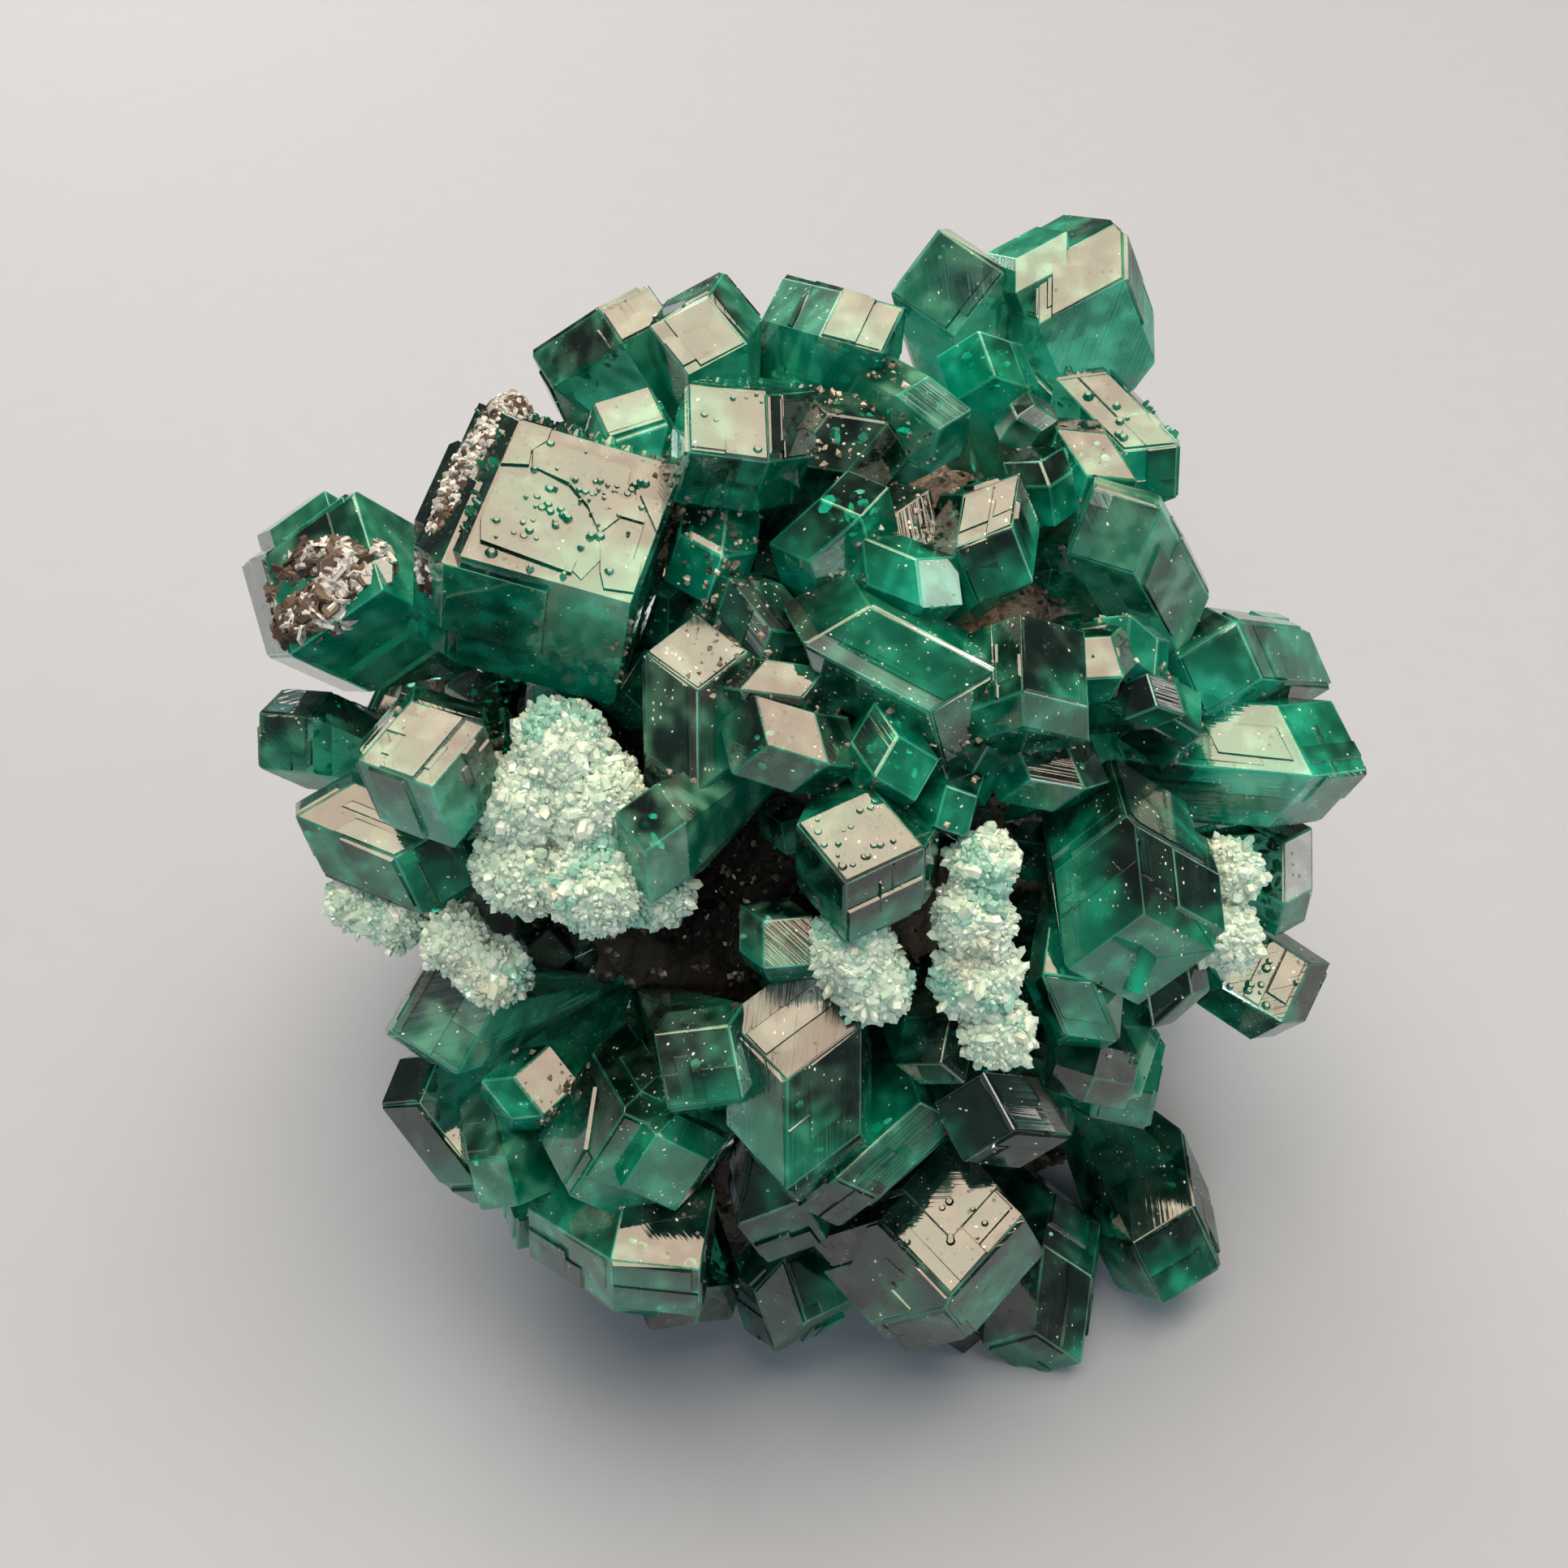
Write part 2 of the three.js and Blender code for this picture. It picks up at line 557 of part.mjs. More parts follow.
// Crystal groups: where one meets a group that grew before it, it stops short of it
const grown = [];
const plain = [];
Object.entries(groups).forEach(([name, clusters], n) => {
  const seed = 1000 * (n + 1);
  let solid = groupSolid(clusters, seed, 0).subtract(floor);
  grown.forEach((earlier) => {
    if (earlier.intersect(solid).volume() > 0) solid = solid.subtract(earlier);
  });
  solid = largestBody(solid);
  grown.push(groupSolid(clusters, seed, GAP));
  plain.push(groupSolid(clusters, seed, GAP + STEP_RISE));
  specimen.add(pieceMesh(`${name}_crystals`, solid, "dioptase"));
});

const matrix = largestBody(matrixSolid(0).subtract(join(plain)).subtract(floor));
specimen.add(pieceMesh("matrix", matrix, "matrix"));

const around = join([...grown, matrixSolid(GAP)]);
Object.entries(CRUSTS).forEach(([name, flakes]) => {
  const cut = crustSolid(flakes).subtract(around);
  specimen.add(pieceMesh(name, largestBody(cut), "crust"));
});
Object.entries(DRUSE).forEach(([name, patch], n) => {
  const cut = druseSolid(patch, n + 1).subtract(around);
  specimen.add(pieceMesh(name, largestBody(cut), "druse"));
});

// The base's middle is the origin
const box = new THREE.Box3().setFromObject(specimen);
const middle = box.getCenter(new THREE.Vector3());
specimen.children.forEach((piece) => piece.geometry.translate(-middle.x, -middle.y, -box.min.z));

export default specimen;
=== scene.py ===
import itertools
import math

import bmesh
import bpy
import numpy as np
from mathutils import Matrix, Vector, noise


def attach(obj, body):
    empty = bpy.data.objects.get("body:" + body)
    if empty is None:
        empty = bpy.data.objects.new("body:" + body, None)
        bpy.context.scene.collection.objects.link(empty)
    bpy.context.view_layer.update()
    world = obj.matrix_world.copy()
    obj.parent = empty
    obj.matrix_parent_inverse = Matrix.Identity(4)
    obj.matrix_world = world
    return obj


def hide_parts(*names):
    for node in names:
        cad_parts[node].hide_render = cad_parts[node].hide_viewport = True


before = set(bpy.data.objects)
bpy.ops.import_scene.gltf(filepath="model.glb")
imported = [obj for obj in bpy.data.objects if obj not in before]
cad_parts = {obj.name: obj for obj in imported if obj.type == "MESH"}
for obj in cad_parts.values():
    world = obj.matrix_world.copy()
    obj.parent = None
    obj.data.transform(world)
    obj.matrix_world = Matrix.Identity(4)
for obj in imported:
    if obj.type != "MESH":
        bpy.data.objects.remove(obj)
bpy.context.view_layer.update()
mm = 0.001
print("frame loaded:", len(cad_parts), "nodes")

# camera and light


viewSet = {
    "place": (-0.248, -31.26, 37.0),   # mm
    "pitch": 42,                       # degrees down
    "focal": 2400,                     # pixels
    "frame": 1932,
}


def addCamera():
    data = bpy.data.cameras.new("camera")
    data.sensor_width = 36
    data.lens = 36 * viewSet["focal"] / viewSet["frame"]
    data.clip_start = 0.001
    camera = bpy.data.objects.new("camera", data)
    camera.location = [v * mm for v in viewSet["place"]]
    camera.rotation_euler = (math.radians(90 - viewSet["pitch"]), 0, 0)
    bpy.context.scene.collection.objects.link(camera)
    bpy.context.scene.camera = camera


lightSet = {
    # name: aim point (mm), direction it shines from, distance (mm), size (mm), watts, colour
    "panel": ((0, 0, 12), (0.0, 0.16, 0.99), 220, (250, 270), 1.12, (1.0, 0.77, 0.58)),
    "fillFront": ((0, 0, 8), (-0.12, -0.80, 0.60), 260, (70, 70), 0.17, (0.96, 1.0, 0.98)),
    "fillRight": ((0, 0, 8), (0.9, -0.1, 0.35), 260, (90, 140), 0.14, (1.0, 0.96, 0.90)),
    "back": ((0, 0, 8), (-0.35, 0.85, 0.30), 240, (100, 60), 0.20, (1.0, 0.98, 0.94)),
}
worldSet = {"colour": (0.50, 0.52, 0.52), "strength": 0.19}


def addLights():
    for name, (aim, way, distance, size, watts, colour) in lightSet.items():
        data = bpy.data.lights.new(name, "AREA")
        data.shape = "RECTANGLE"
        data.size, data.size_y = size[0] * mm, size[1] * mm
        data.energy = watts
        data.color = colour
        lamp = bpy.data.objects.new(name, data)
        way = Vector(way).normalized()
        lamp.location = (Vector(aim) + way * distance) * mm
        lamp.rotation_euler = way.to_track_quat("Z", "Y").to_euler()
        bpy.context.scene.collection.objects.link(lamp)
    world = bpy.data.worlds.new("studio")
    bpy.context.scene.world = world
    world.use_nodes = True
    back = world.node_tree.nodes["Background"]
    back.inputs["Color"].default_value = (*worldSet["colour"], 1)
    back.inputs["Strength"].default_value = worldSet["strength"]
    world.cycles.sampling_method = "NONE"


def setLook():
    scene = bpy.context.scene
    scene.view_settings.view_transform = "Standard"
    scene.view_settings.look = "None"
    scene.cycles.max_bounces = 5
    scene.cycles.transmission_bounces = 4
    scene.cycles.diffuse_bounces = 2
    scene.cycles.glossy_bounces = 3
    scene.cycles.caustics_reflective = False
    scene.cycles.caustics_refractive = False
    scene.cycles.use_light_tree = False


addCamera()
addLights()
setLook()
print("camera and lights placed")

# shader helper: sockets that take part in Python expressions


class Wire:
    def __init__(self, tree, socket):
        self.tree = tree
        self.socket = socket

    def out(self, name):
        return Wire(self.tree, self.socket.node.outputs[name])

    def node(self, kind, settings, sockets, output=0):
        return addNode(self.tree, kind, settings, sockets, output)

    def maths(self, operation, *values):
        return self.node("ShaderNodeMath", {"operation": operation}, dict(enumerate(values)))

    def __add__(self, other):
        return self.maths("ADD", self, other)

    def __radd__(self, other):
        return self.maths("ADD", other, self)

    def __sub__(self, other):
        return self.maths("SUBTRACT", self, other)

    def __rsub__(self, other):
        return self.maths("SUBTRACT", other, self)

    def __mul__(self, other):
        return self.maths("MULTIPLY", self, other)

    def __rmul__(self, other):
        return self.maths("MULTIPLY", other, self)

    def over(self, low, high):
        # 0 below low, 1 above high, smooth between
        return self.node("ShaderNodeMapRange", {"interpolation_type": "SMOOTHSTEP"},
                         {0: self, 1: low, 2: high, 3: 0.0, 4: 1.0})

    def mix(self, first, second):
        # self is the factor between two colours
        return self.node("ShaderNodeMix", {"data_type": "RGBA", "clamp_factor": True},
                         {0: self, 6: first, 7: second}, 2)


def addNode(tree, kind, settings, sockets, output=0):
    node = tree.nodes.new(kind)
    for key, value in settings.items():
        setattr(node, key, value)
    for key, value in sockets.items():
        socket = node.inputs[key]
        if isinstance(value, Wire):
            tree.links.new(value.socket, socket)
        elif isinstance(value, tuple) and socket.type == "RGBA":
            socket.default_value = (*value, 1)
        else:
            socket.default_value = value
    return Wire(tree, node.outputs[output])


def newMaterial(name):
    material = bpy.data.materials.new(name)
    material.use_nodes = True
    tree = material.node_tree
    tree.nodes.clear()
    output = tree.nodes.new("ShaderNodeOutputMaterial")
    return material, tree, output


def showShader(tree, shader, output, socket="Surface"):
    tree.links.new(shader.socket, output.inputs[socket])


# dioptase crystals: the same habit and places as the solids

placed = np.array([-0.2481, 1.7399, 0.0])     # from the crystals' own places to the frame, mm

habit = {
    "endLean": math.radians(51),
    "spread": 0.05,
    "stepMin": 1.45,
    "steps": 2,
    "stepSize": 0.62,
    "stepRise": 0.07,
    "stepSlide": 0.8,
    "stepOut": 0.2,
    "outward": 0.05,      # least turn away from the heart of a face that is worked on
    "bevel": 0.035,       # mm, the rounding of the edges, bright from reflections and from a painted highlight
    "stepBevel": 0.02,
    "smallBevel": 0.015,
    "smallRadius": 0.4,   # mm, crystals up to here get the small bevel
    # painted highlight: how much brighter the rounded edges' body colour is painted
    "paintedEdgeLight": 0.30,
    # film on the rounded edges, partly painted grey sheen
    "edgeHazeAndSheen": 0.2,
    "edgeEtch": 0.6,
    "paintedGlow": 0.5,          # painted light: how much brighter the body is painted towards a crystal's lower end, and darker towards its top
    "paintedTopShade": 0.30,     # painted shade: how much darker the body is painted, seen through a face that turns upwards
}

# x, y, z, heading, rise, spin, radius, shaft (mm and degrees) under the heart of each cluster
crystalGroups = {
    "left_crystals": [((-5.6, -1.2, 11.8), {
        "broadLeft": (-4.4, -3.6, 16.2, 305, 15, 60, 2.5, 1.9),
        "outerLeft": (-8.6, -2.0, 14.1, 300, 35, 110, 1.9, 2.5),
        "leftNeighbour": (-2.8, -1.8, 17.2, 65, 55, 55, 0.95, 0.8),
    })],
    "lower_left_crystals": [((-5.6, -3.6, 10.0), {
        "leftWing": (-9.3, -3.4, 11.5, 200, 45, 80, 1.0, 1.1),
        "brightBlock": (-6.3, -6.7, 13.8, 280, 30, 70, 1.3, 1.8),
        "lyingPrism": (-7.6, -6.1, 11.3, 155, 5, 70, 1.05, 2.2),
        "darkBetween": (-5.6, -5.6, 12.6, 70, 40, 30, 1.0, 0.8),
    })],
    "top_crystals": [((-0.6, 0.3, 13.6), {
        "backLeftPrism": (-3.5, 1.6, 17.3, 330, 40, 80, 0.95, 2.3),
        "ridgeLeft": (-1.5, 0.9, 18.0, 260, 10, 55, 1.1, 1.5),
        "ridgeRight": (0.9, 1.3, 17.9, 295, 20, 65, 1.05, 2.8),
        "centreTop": (-0.6, -2.4, 17.8, 240, 25, 35, 1.2, 2.4),
        "grainNeighbour": (0.9, -1.8, 17.4, 180, 10, 35, 1.0, 1.1),
        "paleSmall": (2.4, -0.9, 17.5, 180, 40, 60, 0.85, 1.1),
        "darkSmall": (-1.3, -3.5, 16.4, 85, 25, 80, 0.85, 1.0),
    })],
    "tall_pair_crystals": [((4.6, 3.0, 10.8), {
        "tallRhomb": (3.7, 5.4, 16.6, 195, 75, 70, 1.4, 0.8),
        "tallBlock": (6.2, 5.2, 16.4, 88, 33, 30, 1.75, 1.3),
        "pairFoot": (5.0, 4.0, 14.6, 300, 30, 20, 1.44, 1.6),
    })],
    "back_right_crystals": [((5.0, 1.4, 12.6), {
        "tallFoot": (4.1, 1.5, 17.0, 180, 20, 115, 0.85, 0.7),
        "slantPrism": (6.7, 1.0, 15.9, 125, 15, 70, 0.9, 2.2),
        "underSlant": (5.9, -0.7, 16.1, 125, 30, 80, 0.85, 1.1),
        "smallGrey": (4.7, -0.2, 16.9, 40, 10, 80, 0.5, 0.5),
        "smallDark": (4.9, -1.5, 16.3, 105, 20, 50, 0.7, 0.6),
    })],
    "centre_crystals": [((1.5, -3.1, 12.4), {
        "greenBlock": (0.9, -3.7, 16.7, 5, 45, 65, 0.8, 1.3),
        "roofCrystal": (2.1, -4.5, 16.3, 150, 5, 105, 0.75, 1.1),
        "shiningRhomb": (3.7, -3.5, 16.5, 80, 19, 30, 0.95, 1.2),
        "longSlab": (2.0, -5.5, 15.1, 160, 20, 50, 1.15, 2.5),
        "darkWedge": (-0.1, -6.1, 14.9, 180, 10, 70, 0.7, 1.1),
        "pitted": (0.1, -7.0, 14.5, 165, 10, 5, 0.85, 1.1),
        "darkBeside": (1.8, -7.1, 14.3, 115, 5, 5, 0.75, 0.9),
        "pittedRhomb": (1.5, -8.1, 12.9, 255, 28, 60, 1.3, 1.6),
        "speckledUpright": (-1.6, -6.0, 14.3, 90, 55, 65, 1.05, 1.8),
        "smallEdge": (2.9, -7.2, 13.4, 255, 10, 115, 0.65, 0.7),
        "brightSmallFace": (-2.2, -8.0, 13.1, 110, 85, 25, 0.75, 1.2),
        "gapAbove": (-0.6, -4.6, 15.2, 140, 35, 100, 1.0, 1.2),
        "underTop": (2.2, -2.9, 15.9, 100, 30, 40, 0.9, 1.0),
    }), ((4.2, -3.6, 11.6), {
        "speckledCube": (4.3, -5.9, 14.9, 130, 80, 75, 1.3, 0.7),
        "narrowShining": (5.8, -4.9, 14.8, 245, 20, 40, 0.7, 1.6),
        "brightSmall": (6.4, -4.6, 14.8, 160, 35, 115, 0.6, 0.7),
        "smallSquare": (6.8, -5.2, 14.1, 185, 25, 110, 0.55, 0.6),
        "darkUnder": (4.8, -6.2, 13.2, 170, 5, 115, 0.75, 1.0),
        "darkLeftOf": (3.2, -5.9, 13.6, 30, 60, 70, 1.0, 1.0),
    })],
    "right_crystals": [((6.8, -1.6, 10.6), {
        "hazyFaced": (6.8, -2.5, 15.1, 195, 60, 80, 1.1, 2.6),
        "upperPrism": (9.2, -2.3, 12.6, 220, 30, 100, 1.1, 2.9),
        "longPrism": (8.5, -3.6, 11.3, 340, 10, 60, 1.4, 3.6),
        "prismRoot": (7.3, -4.1, 12.6, 250, 50, 15, 0.9, 0.9),
    })],
    "lower_right_crystals": [((5.4, -4.4, 8.8), {
        "deepGreen": (6.4, -7.1, 11.2, 100, 50, 110, 1.6, 1.7),
        "belowDeep": (5.5, -8.2, 9.4, 140, 60, 45, 0.8, 1.4),
        "smallShining": (6.0, -8.7, 7.6, 210, 40, 55, 0.65, 1.4),
        "darkRight": (7.5, -7.2, 8.3, 30, 30, 10, 0.6, 1.0),
        "paleRod": (7.0, -8.2, 7.3, 65, 45, 5, 0.25, 1.1),
        "darkLow": (6.7, -7.0, 5.6, 300, 30, 60, 1.0, 1.4),
    })],
    "right_edge_crystals": [((7.2, -2.4, 7.6), {
        "edgeUnder": (10.0, -4.8, 9.2, 85, 30, 60, 0.75, 1.3),
        "singleBlock": (9.9, -5.8, 7.0, 215, 30, 25, 1.2, 0.8),
    })],
    "front_crystals": [((-3.2, -5.0, 6.2), {
        "stripedLeft": (-6.4, -8.1, 8.6, 225, 25, 10, 1.25, 0.6),
        "roundedLeft": (-6.6, -8.5, 5.6, 135, 25, 25, 0.9, 2.0),
        "narrowPrism": (-5.5, -9.2, 6.0, 285, 5, 5, 0.85, 1.7),
        "shoulder": (-4.9, -9.1, 7.6, 350, 20, 85, 0.8, 0.7),
        "largeSpeckled": (-2.7, -9.8, 7.3, 235, 5, 105, 1.7, 1.0),
        "shiningUnder": (-3.2, -10.5, 5.2, 310, 28, 60, 1.4, 3.3),
        "squareBlock": (-1.5, -9.8, 9.3, 245, 5, 35, 1.15, 0.6),
        "baseSmall": (-2.0, -9.9, 2.0, 355, 20, 35, 0.8, 1.0),
        "lowLeft": (-4.8, -8.6, 3.8, 250, 30, 50, 1.0, 1.6),
    }), ((1.5, -5.4, 7.2), {
        "silverBlock": (0.3, -9.8, 8.6, 90, 60, 50, 1.44, 2.1),
        "darkPrism": (1.7, -9.8, 6.9, 45, 5, 90, 0.95, 2.3),
        "blackGreen": (4.3, -9.1, 6.9, 190, 20, 0, 1.05, 1.2),
        "behindSpur": (2.8, -8.9, 8.7, 275, 30, 100, 0.8, 0.8),
        "greyLip": (-0.1, -8.5, 11.1, 305, 15, 85, 0.75, 0.8),
        "betweenBlocks": (0.0, -9.5, 5.4, 75, 40, 30, 1.1, 1.4),
    })],
    "front_low_crystals": [((2.4, -4.6, 3.2), {
        "darkFoot": (0.2, -9.9, 2.3, 20, 50, 15, 1.2, 1.0),
        "largeBottom": (2.9, -10.1, 3.9, 340, 45, 85, 1.9, 1.8),
        "darkRightLow": (5.5, -9.3, 1.3, 80, 55, 115, 1.2, 1.9),
        "underLarge": (3.6, -9.0, 1.0, 100, 40, 15, 1.0, 1.2),
    })],
    "front_right_crystals": [((5.4, -3.0, 3.0), {
        "bottomRight": (8.0, -7.6, 1.6, 90, 10, 30, 1.35, 1.8),
    })],
}

rearSet = {
    "centre": (0.2, 0.6, 5), "reach": (9.0, 7.6, 10.2),
    "groups": {
        "left_side_crystals": (178, (2, 17)),
        "rear_left_crystals": (128, (6, 22)),
        "rear_right_crystals": (58, (-2, 12)),
        "right_side_crystals": (8, (-2, 13)),
    },
    "spread": (-7, 7), "flare": 0.25, "stray": 8, "turn": 120, "lean": (10, 65),
    "radius": (1.2, 1.44), "shaft": (0.8, 2.2), "heart": 0.6,
}

# how each crystal looks: haze and painted sheen, flecks, stripes, pits, brightness, all 0 to 1; brightness
# is partly each crystal's own tone and partly painted shade, low for the low front crystals that lie in
# shade
plainLook = (0.05, 0.30, 0.15, 0.25, 0.50)
crystalLooks = {
    "broadLeft": (0.03, 0.20, 0.05, 0.9, 0.50),
    "outerLeft": (0.30, 0.20, 0.15, 0.3, 0.70),
    "leftNeighbour": (0.10, 0.20, 0.1, 0.3, 0.70),
    "brightBlock": (0.25, 0.20, 0.5, 0.2, 0.60),
    "leftWing": (0.25, 0.25, 0.2, 0.2, 0.55),
    "backLeftPrism": (0.25, 0.25, 0.2, 0.2, 0.75),
    "ridgeLeft": (0.25, 0.20, 0.2, 0.3, 0.80),
    "ridgeRight": (0.25, 0.20, 0.2, 0.3, 0.80),
    "centreTop": (0.08, 0.20, 0.1, 0.5, 0.65),
    "grainNeighbour": (0.20, 0.90, 0.2, 0.3, 0.40),
    "paleSmall": (0.55, 0.30, 0.4, 0.2, 0.75),
    "tallRhomb": (0.42, 0.25, 0.2, 0.2, 0.85),
    "tallBlock": (0.22, 0.15, 1.0, 0.2, 0.95),
    "pairFoot": (0.15, 0.15, 0.3, 0.2, 0.80),
    "slantPrism": (0.10, 0.15, 0.2, 0.5, 0.80),
    "singleBlock": (0.06, 0.30, 0.3, 0.9, 0.40),
    "smallGrey": (0.6, 0.4, 0.4, 0.2, 0.6),
    "longSlab": (0.12, 1.0, 0.1, 0.4, 0.20),
    "darkWedge": (0.10, 0.60, 0.2, 0.4, 0.20),
    "pitted": (0.12, 0.40, 0.2, 1.0, 0.30),
    "pittedRhomb": (0.05, 0.25, 0.1, 1.0, 0.40),
    "speckledUpright": (0.40, 0.95, 0.3, 0.3, 0.30),
    "gapAbove": (0.10, 0.70, 0.2, 0.3, 0.20),
    "underTop": (0.10, 0.80, 0.2, 0.3, 0.20),
    "brightSmallFace": (0.55, 0.25, 0.5, 0.2, 0.70),
    "speckledCube": (0.15, 0.80, 0.2, 0.4, 0.28),
    "brightSmall": (0.10, 0.10, 0.1, 0.1, 1.00),
    "hazyFaced": (0.45, 0.30, 0.2, 0.2, 0.60),
    "upperPrism": (0.12, 0.35, 0.6, 0.2, 0.90),
    "longPrism": (0.06, 0.45, 0.8, 0.2, 0.86),
    "deepGreen": (0.04, 0.50, 0.1, 0.2, 0.38),
    "paleRod": (0.9, 0.2, 0.8, 0.0, 1.0),
    "stripedLeft": (0.55, 0.30, 1.0, 0.1, 0.50),
    "silverBlock": (0.20, 0.35, 1.0, 0.2, 0.30),
    "squareBlock": (0.18, 0.45, 0.4, 0.2, 0.36),
    "largeSpeckled": (0.08, 0.75, 0.2, 0.4, 0.36),
    "greyLip": (0.5, 0.5, 0.4, 0.2, 0.45),
    "narrowPrism": (0.40, 0.30, 0.6, 0.2, 0.45),
    # painted shade: the low front crystals from here on are kept dark, as they lie in shade
    "blackGreen": (0.05, 0.25, 0.1, 0.2, 0.12),
    "behindSpur": (0.05, 0.25, 0.1, 0.2, 0.12),
    "betweenBlocks": (0.03, 0.10, 0.1, 0.2, 0.08),
    "darkPrism": (0.05, 0.25, 0.2, 0.2, 0.15),
    "darkFoot": (0.03, 0.15, 0.1, 0.2, 0.10),
    "baseSmall": (0.03, 0.15, 0.1, 0.2, 0.20),
    "underLarge": (0.03, 0.15, 0.1, 0.2, 0.10),
    "darkRightLow": (0.05, 0.20, 0.1, 0.3, 0.15),
    "largeBottom": (0.05, 0.30, 0.2, 0.6, 0.24),
    "bottomRight": (0.06, 0.25, 0.2, 0.6, 0.28),
}


def seededRandom(seed):
    state = [seed]

    def draw():
        state[0] = (state[0] * 1664525 + 1013904223) % 4294967296
        return state[0] / 4294967296
    return draw


def between(span, share):
    return span[0] + (span[1] - span[0]) * share


def rearCluster(facing, rises):
    draw = seededRandom(facing)
    centre, reach = np.array(rearSet["centre"]), np.array(rearSet["reach"])

    def onShell(azimuth, rise, share):
        a, r = math.radians(azimuth), math.radians(rise)
        return centre + share * reach * (math.cos(a) * math.cos(r), math.sin(a) * math.cos(r), math.sin(r))
    rows = {}
    for level, rise in enumerate(rises):
        for spread in rearSet["spread"]:
            azimuth = facing + spread * (1 + rearSet["flare"] * level) + rearSet["stray"] * (draw() - 0.5)
            at = onShell(azimuth, rise + rearSet["stray"] * (draw() - 0.5), 1)
            heading = azimuth + rearSet["turn"] * (draw() - 0.5)
            lean = between(rearSet["lean"], draw())
            spin = rearSet["turn"] * (draw() - 0.5)
            radius = between(rearSet["radius"], draw())
            rows[f"rear{len(rows)}"] = (*at, heading, lean, spin, radius, between(rearSet["shaft"], draw()))
    return onShell(facing, (rises[0] + rises[-1]) / 2, rearSet["heart"]), rows


def crystalPlanes(radius, shaft, draw):
    side = radius * math.cos(math.pi / 6)
    tip = shaft / 2 + 0.75 * radius * math.tan(habit["endLean"])
    spread = 0 if radius < habit["stepMin"] else habit["spread"]
    normals, reaches = [], []
    for k in range(6):
        turn = math.pi / 6 + k * math.pi / 3
        normals.append((math.cos(turn), math.sin(turn), 0))
        reaches.append(side * (1 + spread * (2 * draw() - 1)))
    for k in range(6):
        turn = k * math.pi / 3
        lean = habit["endLean"]
        end = 1 if k % 2 == 0 else -1
        normals.append((math.sin(lean) * math.cos(turn), math.sin(lean) * math.sin(turn),
                        math.cos(lean) * end))
        reaches.append(tip * math.cos(lean) * (1 + spread * (2 * draw() - 1)))
    return np.array(normals), np.array(reaches)


planeTriples = np.array(list(itertools.combinations(range(12), 3)))


def planeCorners(normals, reaches):
    sets = normals[planeTriples]
    good = np.abs(np.linalg.det(sets)) > 1e-6
    found = np.linalg.solve(sets[good], reaches[planeTriples][good][..., None])[..., 0]
    found = found[(found @ normals.T <= reaches + 1e-5).all(1)]
    kept = []
    for corner in found:
        if all(np.linalg.norm(corner - other) > 0.02 for other in kept):
            kept.append(corner)
    return np.array(kept)


def turnMatrix(heading, rise, spin):
    def aboutZ(d):
        c, s = math.cos(math.radians(d)), math.sin(math.radians(d))
        return np.array([[c, -s, 0], [s, c, 0], [0, 0, 1]])
    c, s = math.cos(math.radians(90 - rise)), math.sin(math.radians(90 - rise))
    aboutY = np.array([[c, 0, s], [0, 1, 0], [-s, 0, c]])
    return aboutZ(heading) @ aboutY @ aboutZ(spin)


def aroundFace(points, normal):
    # the order of a flat face's corners, anticlockwise seen from outside
    middle = points.mean(0)
    first = points[0] - middle
    first = first - normal * (first @ normal)
    first /= np.linalg.norm(first)
    second = np.cross(normal, first)
    angles = np.arctan2((points - middle) @ second, (points - middle) @ first)
    return np.argsort(angles)


def bodyFaces(corners, normals, reaches, heart=None):
    # flat faces of a crystal, and the triangles of its root where it has a heart
    flats, kept = [], []
    for normal, reach in zip(normals, reaches):
        on = np.nonzero(np.abs(corners @ normal - reach) < 0.025)[0]
        if len(on) < 3:
            continue
        ring = on[aroundFace(corners[on], normal)]
        if heart is not None and heart @ normal > reach:
            continue
        flats.append((list(ring), normal, 0))
        kept.append(ring)
    root = []
    if heart is not None:
        edges = {(ring[i - 1], ring[i]) for ring in kept for i in range(len(ring))}
        root = [(b, a, len(corners)) for a, b in edges if (b, a) not in edges]
    return flats, root


